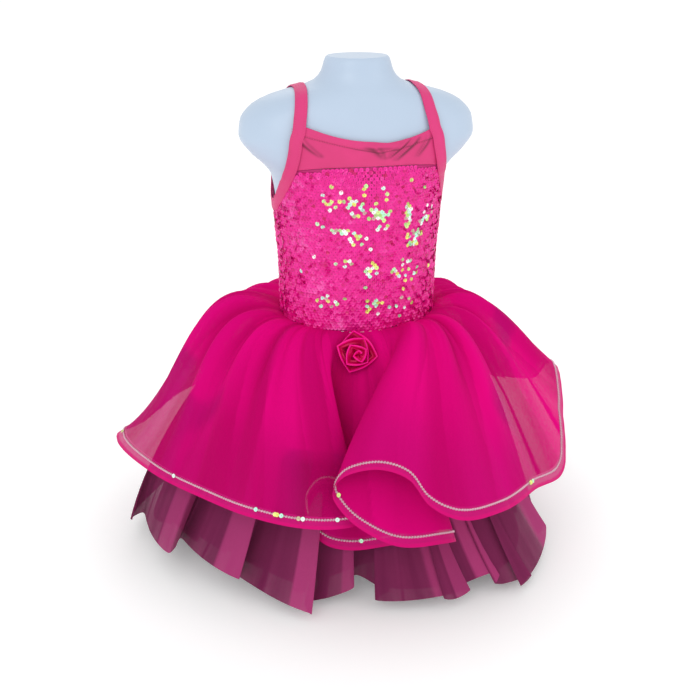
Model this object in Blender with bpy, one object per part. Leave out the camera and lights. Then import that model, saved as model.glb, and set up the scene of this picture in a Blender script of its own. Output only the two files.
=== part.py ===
"""A child's sequin dance dress with a gathered net skirt, worn by a limbless dress form.

Metres, +Z up. The origin is the centre of the form's flat base, and the dress faces -Y.
Angles round the body are degrees from the front, growing towards +X.
"""

import math

import bmesh
import bpy
from mathutils import Vector
from mathutils.bvhtree import BVHTree

UP = Vector((0, 0, 1))

# Driving dimensions of the form and of the fit
FORM_HEIGHT = 0.680
WAIST_HEIGHT = 0.3475
WAIST_DIP = 0.0085
CLEARANCE = 0.0010
PANEL_LIFT = 0.0017
SEAM_GAP = 0.0004

# Cloth and trim
SPANDEX = 0.0012
SEQUIN_CLOTH = 0.0016
NET = 0.0010
BRAID_START = 0.950
BRAID_GAP = 0.0065
STRAP_WIDTH = 0.015
STRAP_THICKNESS = 0.0012
STRAP_COLUMNS = 42

# The bodice, measured on the form
UNDERARM_HEIGHT = 0.503
STRAP_BASE_HEIGHT = 0.597
ARMHOLE_TOP_X = 0.094
YOKE_SEAM_HEIGHT = 0.5545
YOKE_SEAM_DROP = 0.0075
NECK_HEIGHT = 0.583
NECK_RISE = 0.014
NECK_DIP_X = 0.010
PANEL_COLUMNS = 24
BACK_NECK_HEIGHT = 0.560
BACK_NECK_RISE = 0.037
SHOULDER_X = 0.075
SHOULDER_SWING_HEIGHT = 0.575

# Rings that shape the form: height, half width, half depth, squareness of the section
FORM_RINGS = (
    (0.0000, 0.0950, 0.0710, 2.1),
    (0.0030, 0.0980, 0.0740, 2.1),
    (0.0900, 0.1030, 0.0790, 2.1),
    (0.1800, 0.1110, 0.0870, 2.1),
    (0.2500, 0.1100, 0.0860, 2.1),
    (0.3400, 0.1015, 0.0765, 2.1),
    (0.4200, 0.1025, 0.0775, 2.1),
    (0.4700, 0.1060, 0.0810, 2.1),
    (0.5100, 0.1085, 0.0830, 2.1),
    (0.5350, 0.1130, 0.0820, 2.2),
    (0.5480, 0.1220, 0.0795, 2.3),
    (0.5650, 0.1400, 0.0750, 2.4),
    (0.5850, 0.1525, 0.0700, 2.5),
    (0.6050, 0.1500, 0.0650, 2.4),
    (0.6200, 0.1390, 0.0605, 2.3),
    (0.6310, 0.1210, 0.0560, 2.2),
    (0.6390, 0.0950, 0.0525, 2.1),
    (0.6450, 0.0700, 0.0490, 2.0),
    (0.6520, 0.0540, 0.0455, 2.0),
    (0.6620, 0.0460, 0.0420, 2.0),
    (0.6780, 0.0405, 0.0385, 2.0),
    (0.6800, 0.0385, 0.0365, 2.0),
)
FORM_SIDES = 36
# The form's rows of faces: where a stretch of the body ends and how many rows it takes
FORM_ROWS = (
    (0.003, 1),
    (0.270, 4),
    (0.400, 7),
    (0.490, 4),
    (0.620, 12),
    (0.656, 8),
    (0.678, 2),
    (0.680, 1),
)

# Hem of the net overskirt in front and at the sides, row by row of its big folds:
# angle at the waist, angle at the hem, reach from the axis, height, bulge of the cloth between
OVERSKIRT_FOLDS = (
    ("left side", -108, -113, 0.335, 0.130, 0.118),
    ("left tip", -96, -101, 0.348, 0.145, 0.132),
    ("left panel", -80, -82, 0.302, 0.145, 0.108),
    ("left panel", -64, -62, 0.268, 0.145, 0.080),
    ("left panel", -50, -43, 0.259, 0.145, 0.065),
    ("left panel", -43, -28, 0.254, 0.143, 0.060),
    ("left panel", -37, -17.5, 0.241, 0.139, 0.062),
    ("first turn", -33.5, -11.5, 0.226, 0.138, 0.049),
    ("first turn", -29.5, -12, 0.210, 0.153, 0.035),
    ("first trough", -25.5, -19, 0.199, 0.175, 0.024),
    ("first trough", -22, -26, 0.194, 0.171, 0.022),
    ("first trough", -18.5, -32, 0.190, 0.141, 0.021),
    ("lower wave", -15, -31.5, 0.188, 0.106, 0.018),
    ("lower wave", -11.5, -24.5, 0.192, 0.083, 0.016),
    ("lower wave", -8, -14, 0.196, 0.079, 0.017),
    ("lower wave", -5, 0, 0.203, 0.088, 0.020),
    ("second turn", -2, 12, 0.216, 0.096, 0.024),
    ("second turn", 1.5, 19, 0.246, 0.104, 0.030),
    ("rolled wave", 5, 12, 0.262, 0.118, 0.038),
    ("rolled wave", 8.5, 0, 0.258, 0.122, 0.046),
    ("rolled wave", 11.5, -10, 0.248, 0.142, 0.053),
    ("rolled wave", 14.5, -16, 0.240, 0.162, 0.060),
    ("third turn", 17.5, -19, 0.238, 0.187, 0.066),
    ("high trough", 20.5, -15, 0.241, 0.214, 0.072),
    ("high trough", 24, -6, 0.247, 0.226, 0.078),
    ("high trough", 28, 2, 0.259, 0.216, 0.078),
    ("right panel", 32, 7, 0.276, 0.184, 0.074),
    ("right panel", 37, 14, 0.295, 0.168, 0.070),
    ("right panel", 44, 26, 0.294, 0.160, 0.070),
    ("right panel", 53, 44, 0.282, 0.148, 0.070),
    ("right corner", 62, 58, 0.300, 0.146, 0.070),
    ("lifted side", 70, 68, 0.291, 0.205, 0.062),
    ("lifted side", 79, 78, 0.287, 0.247, 0.056),
    ("lifted side", 90, 91, 0.290, 0.232, 0.050),
    ("right side", 101, 103, 0.303, 0.180, 0.066),
)
BACK_WAVES = 5
BACK_FROM, BACK_TO = 112.0, 243.0
BACK_CREST, BACK_TROUGH = 0.322, 0.286
BACK_CREST_HEIGHT, BACK_TROUGH_HEIGHT = 0.140, 0.168
BACK_LAP = 3.0
BACK_BULGE = 0.072

# Shape and gathers of the overskirt
OVERSKIRT_COLUMNS = 168
OVERSKIRT_STEPS = (0.0, 0.06, 0.16, 0.30, 0.52, 0.76, BRAID_START)
HEM_SPACING, WAIST_SPACING = 0.018, 4.0
GATHERS = 28
GATHER_DEPTH = 0.0050
FOLD_GATHER_SHARE = 0.12

# Hem of the net underskirt: angle, reach, height
UNDERSKIRT_HEM = (
    (-108, 0.318, 0.022),
    (-96, 0.330, 0.026),
    (-86, 0.304, 0.036),
    (-68, 0.267, 0.040),
    (-57, 0.254, 0.036),
    (-44, 0.238, 0.024),
    (-32, 0.242, 0.008),
    (-23, 0.218, 0.014),
    (-12, 0.180, 0.032),
    (-3, 0.200, 0.022),
    (9, 0.232, 0.016),
    (19, 0.250, 0.014),
    (26, 0.240, 0.024),
    (34, 0.262, 0.018),
    (45, 0.286, 0.018),
    (58, 0.274, 0.016),
    (76, 0.262, 0.024),
    (96, 0.266, 0.018),
    (118, 0.280, 0.024),
    (140, 0.262, 0.016),
    (160, 0.278, 0.022),
    (180, 0.260, 0.014),
    (201, 0.280, 0.024),
    (222, 0.272, 0.016),
    (238, 0.300, 0.022),
)
UNDERSKIRT_COLUMNS = 88
UNDERSKIRT_STEPS = (0.0, 0.14, 0.38, 0.62, 0.82, 1.0)
UNDERSKIRT_GATHERS = 24
UNDERSKIRT_GATHER_DEPTH = 0.0060
PETTICOAT_COLUMNS = 56
PETTICOAT_STEPS = (0.0, 0.12, 0.40, 0.70, 1.0)
PETTICOAT_SHARE = 0.88
PETTICOAT_RAISE = 0.016
FRONT_FULLNESS, SIDE_FULLNESS = 0.06, 0.70
UNDERSKIRT_SLOPE, PETTICOAT_SLOPE = 28.0, 48.0

# Ribbon rose: a strip wound round a core, tacked below the waist seam
ROSE_CENTRE = Vector((-0.0235, -0.105, 0.3235))
ROSE_FACING = Vector((-0.10, -0.90, 0.42))
ROSE_OUTER, ROSE_INNER = 0.0325, 0.0030
ROSE_TURNS = 2.6
ROSE_STEPS = 46
ROSE_STRIP = 0.0014
ROSE_INNER_HEIGHT, ROSE_OUTER_HEIGHT = 0.016, 0.007
ROSE_LEAN = 0.0035

COLOURS = {
    "dress_form": ((0.80, 0.84, 0.90), 0.35),
    "spandex": ((0.80, 0.10, 0.24), 0.55),
    "sequin_cloth": ((0.86, 0.03, 0.33), 0.30),
    "overskirt_net": ((0.80, 0.01, 0.22), 0.70),
    "braid": ((0.70, 0.03, 0.22), 0.40),
    "underskirt_net": ((0.32, 0.05, 0.15), 0.75),
    "satin": ((0.72, 0.01, 0.12), 0.30),
}


def clear_scene():
    for obj in list(bpy.data.objects):
        bpy.data.objects.remove(obj, do_unlink=True)


def material(name):
    found = bpy.data.materials.get(name)
    if found:
        return found
    colour, roughness = COLOURS[name]
    made = bpy.data.materials.new(name)
    made.use_nodes = True
    shader = made.node_tree.nodes["Principled BSDF"]
    shader.inputs["Base Color"].default_value = (*colour, 1.0)
    shader.inputs["Roughness"].default_value = roughness
    shader.inputs["Metallic"].default_value = 0.0
    return made


def smooth_between(a, b, c, d, share):
    """Catmull-Rom value between b and c."""
    return 0.5 * (
        2 * b
        + (c - a) * share
        + (2 * a - 5 * b + 4 * c - d) * share**2
        + (3 * b - a - 3 * c + d) * share**3
    )


def eased(share):
    return share * share * (3 - 2 * share)


# The form


def slope_at(rows, column, n):
    """Slope of a table's column at a row, level where the column turns."""
    if n <= 0 or n >= len(rows) - 1:
        return 0.0
    before = (rows[n][column] - rows[n - 1][column]) / (rows[n][0] - rows[n - 1][0])
    after = (rows[n + 1][column] - rows[n][column]) / (rows[n + 1][0] - rows[n][0])
    if before * after <= 0:
        return 0.0
    return 2 * before * after / (before + after)


def form_section(height):
    """Half width, half depth and squareness of the form at a height, smooth through its rings."""
    rings = FORM_RINGS
    height = min(max(height, rings[0][0]), rings[-1][0])
    i = max(n for n in range(len(rings) - 1) if rings[n][0] <= height)
    low, high = rings[i], rings[i + 1]
    span = high[0] - low[0]
    share = (height - low[0]) / span
    section = []
    for column in (1, 2, 3):
        rise = high[column] - low[column]
        start = slope_at(rings, column, i) * span
        end = slope_at(rings, column, i + 1) * span
        section.append(
            low[column]
            + start * share
            + (3 * rise - 2 * start - end) * share**2
            + (start + end - 2 * rise) * share**3
        )
    return section


def form_point(angle, height):
    """Point on the form at an angle in degrees from the front."""
    width, depth, square = form_section(height)
    turn = math.radians(angle)
    across, front = math.sin(turn), math.cos(turn)
    x = math.copysign(width * abs(across) ** (2 / square), across)
    y = -math.copysign(depth * abs(front) ** (2 / square), front)
    return Vector((x, y, height))


def form_angle(x, height):
    """Angle from the front of the form's point that far from the middle."""
    width, _, square = form_section(height)
    return math.degrees(math.asin(min(1.0, abs(x) / width) ** (square / 2)))


def form_level(point):
    """Below 1 inside the form, 1 on it, above 1 outside."""
    width, depth, square = form_section(point.z)
    return (abs(point.x / width) ** square + abs(point.y / depth) ** square) ** (1 / square)


def form_normal(point):
    step = 1e-5
    return Vector(
        [
            form_level(point + axis * step) - form_level(point - axis * step)
            for axis in (Vector((1, 0, 0)), Vector((0, 1, 0)), Vector((0, 0, 1)))
        ]
    ) / (2 * step)


def on_form(point, lift):
    """The point moved to lie at a distance off the form's surface."""
    point = point.copy()
    for _ in range(6):
        slope = form_normal(point)
        point -= slope * ((form_level(point) - 1) / slope.length_squared)
    return point + form_normal(point).normalized() * lift


def waist_height(angle):
    return WAIST_HEIGHT - WAIST_DIP * math.cos(math.radians(angle))


# Meshes


def new_object(name, mesh, surface):
    obj = bpy.data.objects.new(name, mesh)
    bpy.context.scene.collection.objects.link(obj)
    mesh.materials.append(material(surface))
    mesh.shade_smooth()
    mesh.set_sharp_from_angle(angle=math.radians(50))
    return obj


def grid_mesh(name, grid, closed):
    """Quads through rows of points. Columns run clockwise seen from outside, rows run down."""
    made = bmesh.new()
    rows = [[made.verts.new(point) for point in row] for row in grid]
    count = len(rows[0])
    for upper, lower in zip(rows, rows[1:]):
        for i in range(count if closed else count - 1):
            j = (i + 1) % count
            made.faces.new((upper[i], lower[i], lower[j], upper[j]))
    mesh = bpy.data.meshes.new(name)
    made.to_mesh(mesh)
    made.free()
    return mesh


def cloth(name, grid, closed, thickness, surface, side=0.0):
    """A wall of cloth through the points: side 0 is centred on them, 1 is outside them."""
    obj = new_object(name, grid_mesh(name, grid, closed), surface)
    wall = obj.modifiers.new("wall", "SOLIDIFY")
    wall.thickness = thickness
    wall.offset = side
    wall.use_even_offset = False
    wall.use_rim = True
    return obj


def form_heights():
    heights = [0.0]
    for top, count in FORM_ROWS:
        bottom = heights[-1]
        heights += [bottom + (top - bottom) * (i + 1) / count for i in range(count)]
    return heights


def build_form():
    """Smooth closed torso with a flat neck, shoulder stubs and a flat base."""
    made = bmesh.new()
    rings = []
    for height in form_heights():
        rings.append(
            [
                made.verts.new(form_point(-360 * i / FORM_SIDES, height))
                for i in range(FORM_SIDES)
            ]
        )
    for lower, upper in zip(rings, rings[1:]):
        for i in range(FORM_SIDES):
            j = (i + 1) % FORM_SIDES
            made.faces.new((upper[i], upper[j], lower[j], lower[i]))
    made.faces.new(rings[0])
    made.faces.new(list(reversed(rings[-1])))
    bmesh.ops.recalc_face_normals(made, faces=made.faces)
    mesh = bpy.data.meshes.new("dress_form")
    made.to_mesh(mesh)
    made.free()
    return new_object("dress_form", mesh, "dress_form")


# The bodice


def armhole_x(height):
    """How far from the middle the armhole's edge runs, between the underarm and the strap's base."""
    share = (height - UNDERARM_HEIGHT) / (STRAP_BASE_HEIGHT - UNDERARM_HEIGHT)
    share = min(max(share, 0.0), 1.0)
    under = form_section(UNDERARM_HEIGHT)[0]
    return ARMHOLE_TOP_X + (under - ARMHOLE_TOP_X) * (1 - share) ** 1.2


def edge_angle(height):
    """Angle of a front panel's side edge: the side seam, then the armhole."""
    if height <= UNDERARM_HEIGHT:
        return 90.0
    return form_angle(armhole_x(height), height)


def neckline(x):
    return NECK_HEIGHT + NECK_RISE * abs((x - NECK_DIP_X) / ARMHOLE_TOP_X) ** 1.8


def yoke_seam(x):
    return YOKE_SEAM_HEIGHT - YOKE_SEAM_DROP * abs(x / ARMHOLE_TOP_X) ** 4


def back_neckline(x):
    return BACK_NECK_HEIGHT + BACK_NECK_RISE * min(1.0, abs(x) / ARMHOLE_TOP_X) ** 2.2


def panel_grid(top, bottom, rows, inset, crowding, facing=1):
    """Rows of points between two edges on the form, between its side edges. Crowding above 1
    draws the rows together towards the top, where the form flares."""
    grid = []
    for r in range(rows + 1):
        row = []
        for c in range(PANEL_COLUMNS + 1):
            across = -1 + 2 * c / PANEL_COLUMNS
            x = across * ARMHOLE_TOP_X
            high = top(x)
            low = bottom(across)
            height = high + (low - high) * (r / rows) ** crowding
            angle = across * (edge_angle(height) - inset)
            point = form_point(angle, height)
            if facing < 0:
                point.y = -point.y
            row.append(on_form(point, PANEL_LIFT))
        grid.append(row if facing > 0 else row[::-1])
    return grid


def waist_edge(across):
    return waist_height(90 * across)


def yoke_edge(across):
    return yoke_seam(across * ARMHOLE_TOP_X) + SEAM_GAP


def back_waist_edge(across):
    return waist_height(180 - 90 * across)


def build_bodice():
    seam = math.degrees(SEAM_GAP / form_section(UNDERARM_HEIGHT)[0]) / 2
    front = panel_grid(yoke_seam, waist_edge, 14, seam, 1.5)
    cloth("bodice_front", front, False, SEQUIN_CLOTH, "sequin_cloth", side=1)
    yoke = panel_grid(neckline, yoke_edge, 5, seam, 1.0)
    cloth("yoke_front", yoke, False, SPANDEX, "spandex", side=1)
    back = panel_grid(back_neckline, back_waist_edge, 16, seam, 1.15, facing=-1)
    cloth("bodice_back", back, False, SPANDEX, "spandex", side=1)


# Straps, each bound round its armhole and over the shoulder in one loop


def armhole_run():
    """Middle line of the strap up the front of the armhole, from the side seam."""
    inward = STRAP_WIDTH * 0.46
    points = []
    for share in (0.0, 0.03, 0.08, 0.16, 0.28, 0.42, 0.58, 0.75, 0.90):
        height = UNDERARM_HEIGHT - inward * (1 - share) ** 3
        height += (STRAP_BASE_HEIGHT - UNDERARM_HEIGHT) * share
        reach = armhole_x(height) - inward * share**0.4
        points.append(form_point(form_angle(reach, height) if share else 90.0, height))
    return points


def shoulder_run():
    """Middle line of the strap over the shoulder, where a swinging line meets the form."""
    steps = 14
    base_x = armhole_x(STRAP_BASE_HEIGHT) - STRAP_WIDTH * 0.46
    points = []
    for i in range(steps + 1):
        turn = math.radians(20 + 140 * i / steps)
        x = base_x + (SHOULDER_X - base_x) * math.sin(turn) ** 1.5
        near, far = 0.005, 0.12
        for _ in range(30):
            middle = (near + far) / 2
            point = Vector(
                (x, -middle * math.cos(turn), SHOULDER_SWING_HEIGHT + middle * math.sin(turn))
            )
            inside = form_level(point) < 1 and point.z < FORM_HEIGHT
            near, far = (middle, far) if inside else (near, middle)
        points.append(point)
    return points


def even_loop(points, count):
    """Evenly spaced points round a closed line."""
    closed = points + points[:1]
    lengths = [0.0]
    for a, b in zip(closed, closed[1:]):
        lengths.append(lengths[-1] + (b - a).length)
    spaced = []
    for i in range(count):
        at = lengths[-1] * i / count
        n = max(k for k in range(len(points)) if lengths[k] <= at)
        spaced.append(closed[n].lerp(closed[n + 1], (at - lengths[n]) / (lengths[n + 1] - lengths[n])))
    return spaced


def strap_lift(point):
    """How far the strap is off the form: over the panels it lies on them."""
    on_panel = PANEL_LIFT + max(SPANDEX, SEQUIN_CLOTH) + 2 * SEAM_GAP
    settled = eased(min(max((point.z - STRAP_BASE_HEIGHT - 0.004) / 0.022, 0.0), 1.0))
    return on_panel + (CLEARANCE - on_panel) * settled


def build_strap(name, side):
    front = armhole_run()
    back = [Vector((point.x, -point.y, point.z)) for point in front]
    loop = even_loop(front + shoulder_run() + back[:0:-1], STRAP_COLUMNS)
    middle = [on_form(Vector((point.x * side, point.y, point.z)), 0) for point in loop]
    rows = [[], [], []]
    for i, point in enumerate(middle):
        along = (middle[(i + 1) % len(middle)] - middle[i - 1]).normalized()
        across = along.cross(form_normal(point).normalized()).normalized()
        for row, way in zip(rows, (-0.5, 0, 0.5)):
            row.append(on_form(point + across * (way * STRAP_WIDTH), strap_lift(point)))
    return cloth(name, rows, True, STRAP_THICKNESS, "spandex", side=1)


# Skirts


def back_rows():
    """The overskirt's waves across the back, each a wide crest between narrow troughs."""
    pitch = (BACK_TO - BACK_FROM) / BACK_WAVES
    flank = (BACK_CREST + BACK_TROUGH) / 2
    flank_height = (BACK_CREST_HEIGHT + BACK_TROUGH_HEIGHT) / 2
    rows = []
    for i in range(BACK_WAVES):
        start = BACK_FROM + i * pitch
        quarter, half, late = (start + pitch * share for share in (0.25, 0.5, 0.75))
        rows += [
            (start, start, BACK_TROUGH, BACK_TROUGH_HEIGHT, BACK_BULGE),
            (quarter, quarter - BACK_LAP, flank, flank_height, BACK_BULGE),
            (half, half, BACK_CREST, BACK_CREST_HEIGHT, BACK_BULGE),
            (late, late + BACK_LAP, flank, flank_height, BACK_BULGE),
        ]
    return rows


def closed_rows(rows, per_row, angles):
    """Smooth rows closed round a full turn. The first `angles` numbers of a row are angles."""
    count = len(rows)

    def cell(n, column):
        turns, i = divmod(n, count)
        return rows[i][column] + (360 * turns if column < angles else 0)

    made = []
    for i in range(count):
        for step in range(per_row):
            made.append(
                [
                    smooth_between(*(cell(i + k, column) for k in (-1, 0, 1, 2)), step / per_row)
                    for column in range(len(rows[0]))
                ]
            )
    made.append([cell(count, column) for column in range(len(rows[0]))])
    return made


def spread_rows(rows, count, distance):
    """Rows picked evenly by a running distance between neighbours, without the closing one."""
    run = [0.0]
    for a, b in zip(rows, rows[1:]):
        run.append(run[-1] + distance(a, b))
    made = []
    n = 0
    for i in range(count):
        at = run[-1] * i / count
        while run[n + 1] <= at:
            n += 1
        share = (at - run[n]) / (run[n + 1] - run[n])
        made.append([a + (b - a) * share for a, b in zip(rows[n], rows[n + 1])])
    return made


def polar(angle, reach, height):
    turn = math.radians(angle)
    return Vector((reach * math.sin(turn), -reach * math.cos(turn), height))


def bezier(a, b, c, d, share):
    rest = 1 - share
    return a * rest**3 + b * 3 * rest**2 * share + c * 3 * rest * share**2 + d * share**3


def waist_ring_point(angle, drop, lift):
    """Where a skirt layer starts: a distance below the bodice's lower edge and off the form."""
    return on_form(form_point(angle, waist_height(angle) - drop), lift)


def overskirt_columns():
    folds = [row[1:] for row in OVERSKIRT_FOLDS]

    def distance(a, b):
        hem = polar(*b[1:4]) - polar(*a[1:4])
        return hem.length / HEM_SPACING + (b[0] - a[0]) / WAIST_SPACING

    return spread_rows(closed_rows(folds + back_rows(), 12, 2), OVERSKIRT_COLUMNS, distance)


def gather_share(waist_angle):
    """The gathers are shallower where the big folds crowd together in front."""
    off = (waist_angle + 180) % 360 - 180
    crowded = eased(min(max((abs(off + 5) - 30) / 16, 0.0), 1.0))
    return FOLD_GATHER_SHARE + (1 - FOLD_GATHER_SHARE) * crowded


def overskirt_point(column, share):
    """A point of the overskirt: share 0 at the waist seam, 1 at the hem."""
    waist_angle, hem_angle, reach, height, bulge = column
    start = waist_ring_point(waist_angle, 0, PANEL_LIFT + SEQUIN_CLOTH + SEAM_GAP + NET * 0.7)
    end = polar(hem_angle, reach, height)
    chord = end - start
    run, rise = math.hypot(chord.x, chord.y), chord.z
    towards = Vector((chord.x / run, chord.y / run, 0))
    radial = polar(waist_angle, 1, 0)
    out, up = -rise / chord.length, run / chord.length
    near = start + radial * (0.12 * run + out * bulge) + UP * (0.12 * rise + up * bulge)
    slack = bulge * (0.4 - 6.8 * (bulge - 0.055))
    far = start + towards * (0.62 * run + out * slack) + UP * (0.62 * rise + up * slack)
    point = bezier(start, near, far, end, share)
    depth = GATHER_DEPTH * gather_share(waist_angle) * math.sin(math.pi * share**0.6) ** 1.5
    depth *= math.cos(math.radians(GATHERS * waist_angle))
    return point + (radial * out + UP * up) * depth


def build_overskirt():
    columns = overskirt_columns()
    grid = [[overskirt_point(column, share) for column in columns] for share in OVERSKIRT_STEPS]
    cloth("overskirt", grid, True, NET, "overskirt_net")
    shares = (BRAID_START + BRAID_GAP, 1.0)
    grid = [[overskirt_point(column, share) for column in columns] for share in shares]
    cloth("hem_braid", grid, True, NET, "braid")


def underskirt_rows(count):
    return spread_rows(closed_rows(UNDERSKIRT_HEM, 8, 1), count, lambda a, b: b[0] - a[0])


def lower_layer_point(row, share, drop, slope, reach_share, raised):
    """A point of a lower net layer: it hangs close in front and stands out at the sides."""
    angle, reach, height = row
    start = waist_ring_point(angle, drop, CLEARANCE + NET / 2)
    end = polar(angle, reach * reach_share, height + raised)
    out = polar(angle, 1, 0)
    forward = max(0.0, math.cos(math.radians(angle)))
    fullness = (SIDE_FULLNESS + (FRONT_FULLNESS - SIDE_FULLNESS) * forward) * reach_share
    inner = math.hypot(start.x, start.y)
    run = reach * reach_share - inner
    fall = start.z - end.z
    step = max(0.022, run * fullness * 0.60) * reach_share**2
    near = start + out * step - Vector((0, 0, step * math.tan(math.radians(slope))))
    far = polar(angle, inner + run * (0.22 + 0.90 * fullness), end.z + fall * 0.38)
    point = bezier(start, near, far, end, share)
    ripple = math.cos(math.radians(UNDERSKIRT_GATHERS * angle))
    return point + out * (ripple * UNDERSKIRT_GATHER_DEPTH * share)


def build_lower_layer(name, count, steps, drop, slope, reach_share, raised):
    rows = underskirt_rows(count)
    grid = [
        [lower_layer_point(row, share, drop, slope, reach_share, raised) for row in rows]
        for share in steps
    ]
    cloth(name, grid, True, NET, "underskirt_net")


# The rose


def rose_seat(spiral, facing, sideways):
    """How far out along its facing the rose goes, to clear the folds it is tacked to."""
    skirt = bpy.data.objects["overskirt"]
    folds = BVHTree.FromObject(skirt, bpy.context.evaluated_depsgraph_get())
    seat = -ROSE_OUTER
    for point in spiral:
        for aside in sideways:
            above = point + aside * (ROSE_STRIP * 0.6) + facing * ROSE_OUTER * 4
            _, _, _, distance = folds.ray_cast(above, -facing)
            if distance is not None:
                seat = max(seat, ROSE_OUTER * 4 - distance)
    return seat + SEAM_GAP


def build_rose():
    """A ribbon wound from the core outwards, its free edge leaning out and waved like petals."""
    facing = ROSE_FACING.normalized()
    right = Vector((0, 0, 1)).cross(facing).normalized()
    up = facing.cross(right)
    upper, lower = [], []
    for i in range(ROSE_STEPS + 1):
        share = i / ROSE_STEPS
        turn = 2 * math.pi * ROSE_TURNS * share
        radius = ROSE_INNER + (ROSE_OUTER - ROSE_LEAN - ROSE_INNER) * share
        height = ROSE_INNER_HEIGHT + (ROSE_OUTER_HEIGHT - ROSE_INNER_HEIGHT) * share
        height += 0.0012 * math.sin(5 * turn / 2)
        way = right * math.cos(turn) + up * math.sin(turn)
        lower.append(ROSE_CENTRE + way * radius)
        upper.append(ROSE_CENTRE + way * (radius + ROSE_LEAN * share) + facing * height)
    seat = facing * rose_seat(lower, facing, (right, up, -right, -up))
    upper = [point + seat for point in upper]
    lower = [point + seat for point in lower]
    middle = [(a + b) / 2 for a, b in zip(upper, lower)]
    return cloth("rosette", [upper, middle, lower], False, ROSE_STRIP, "satin")


def main():
    clear_scene()
    build_form()
    build_bodice()
    build_strap("strap_right", 1)
    build_strap("strap_left", -1)
    build_overskirt()
    build_lower_layer(
        "underskirt", UNDERSKIRT_COLUMNS, UNDERSKIRT_STEPS, 0.0012, UNDERSKIRT_SLOPE, 1.0, 0.0
    )
    build_lower_layer(
        "petticoat",
        PETTICOAT_COLUMNS,
        PETTICOAT_STEPS,
        0.0042,
        PETTICOAT_SLOPE,
        PETTICOAT_SHARE,
        PETTICOAT_RAISE,
    )
    build_rose()


main()
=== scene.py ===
"""A child's sequin dance dress on its limbless dress form, finished for rendering.

Metres, +Z up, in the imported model's frame. The dress faces -Y. Angles round the body are
degrees from the front, growing towards +X. The sections follow the dress as it is put together.
"""

import math

import bmesh
import bpy
import numpy as np
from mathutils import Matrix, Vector


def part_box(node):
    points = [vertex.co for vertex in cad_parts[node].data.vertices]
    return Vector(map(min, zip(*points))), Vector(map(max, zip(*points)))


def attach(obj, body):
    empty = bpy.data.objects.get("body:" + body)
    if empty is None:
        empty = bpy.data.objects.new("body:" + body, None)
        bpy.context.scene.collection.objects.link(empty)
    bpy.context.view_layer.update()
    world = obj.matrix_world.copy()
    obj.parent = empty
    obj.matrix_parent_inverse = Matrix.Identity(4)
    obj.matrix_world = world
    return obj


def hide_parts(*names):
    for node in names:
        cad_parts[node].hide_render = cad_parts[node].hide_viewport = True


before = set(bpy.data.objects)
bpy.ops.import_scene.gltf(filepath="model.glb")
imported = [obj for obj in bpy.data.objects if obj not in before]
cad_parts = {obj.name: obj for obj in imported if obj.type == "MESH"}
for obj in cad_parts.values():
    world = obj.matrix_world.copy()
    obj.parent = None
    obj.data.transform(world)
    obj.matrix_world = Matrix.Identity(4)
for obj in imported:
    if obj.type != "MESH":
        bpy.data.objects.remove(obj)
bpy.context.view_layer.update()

# The dress form
# A hollow moulding of white plastic with a satin skin: a torso with rounded stubs for shoulders,
# cut flat at the neck and at the base. The dress is pulled on over it.

# Rings that shape the form: height, half width, half depth, squareness of the section
FORM_RINGS = (
    (0.0000, 0.0950, 0.0710, 2.1),
    (0.0030, 0.0980, 0.0740, 2.1),
    (0.0900, 0.1030, 0.0790, 2.1),
    (0.1800, 0.1110, 0.0870, 2.1),
    (0.2500, 0.1100, 0.0860, 2.1),
    (0.3400, 0.1015, 0.0765, 2.1),
    (0.4200, 0.1025, 0.0775, 2.1),
    (0.4700, 0.1060, 0.0810, 2.1),
    (0.5100, 0.1085, 0.0830, 2.1),
    (0.5350, 0.1130, 0.0820, 2.2),
    (0.5480, 0.1220, 0.0795, 2.3),
    (0.5650, 0.1400, 0.0750, 2.4),
    (0.5850, 0.1525, 0.0700, 2.5),
    (0.6050, 0.1500, 0.0650, 2.4),
    (0.6200, 0.1390, 0.0605, 2.3),
    (0.6310, 0.1210, 0.0560, 2.2),
    (0.6390, 0.0950, 0.0525, 2.1),
    (0.6450, 0.0700, 0.0490, 2.0),
    (0.6520, 0.0540, 0.0455, 2.0),
    (0.6620, 0.0460, 0.0420, 2.0),
    (0.6780, 0.0405, 0.0385, 2.0),
    (0.6800, 0.0385, 0.0365, 2.0),
)
FORM_SIDES = 112
FORM_ROW = 0.0055
FOOT_EDGE = (0.0, 0.0004, 0.0012, 0.0030)
NECK_EDGE = (0.6780, 0.6787, 0.6794, 0.6798, 0.6800)


def slope_at(rows, column, n):
    """Slope of a table's column at a row, level where the column turns."""
    if n <= 0 or n >= len(rows) - 1:
        return 0.0
    before = (rows[n][column] - rows[n - 1][column]) / (rows[n][0] - rows[n - 1][0])
    after = (rows[n + 1][column] - rows[n][column]) / (rows[n + 1][0] - rows[n][0])
    if before * after <= 0:
        return 0.0
    return 2 * before * after / (before + after)


def form_section(height):
    """Half width, half depth and squareness of the form at a height, smooth through its rings."""
    rings = FORM_RINGS
    height = min(max(height, rings[0][0]), rings[-1][0])
    i = max(n for n in range(len(rings) - 1) if rings[n][0] <= height)
    low, high = rings[i], rings[i + 1]
    span = high[0] - low[0]
    share = (height - low[0]) / span
    section = []
    for column in (1, 2, 3):
        rise = high[column] - low[column]
        start = slope_at(rings, column, i) * span
        end = slope_at(rings, column, i + 1) * span
        section.append(
            low[column]
            + start * share
            + (3 * rise - 2 * start - end) * share**2
            + (start + end - 2 * rise) * share**3
        )
    return section


def form_point(angle, height):
    """Point on the form at an angle in degrees from the front."""
    width, depth, square = form_section(height)
    turn = math.radians(angle)
    across, front = math.sin(turn), math.cos(turn)
    x = math.copysign(width * abs(across) ** (2 / square), across)
    y = -math.copysign(depth * abs(front) ** (2 / square), front)
    return Vector((x, y, height))


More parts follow.
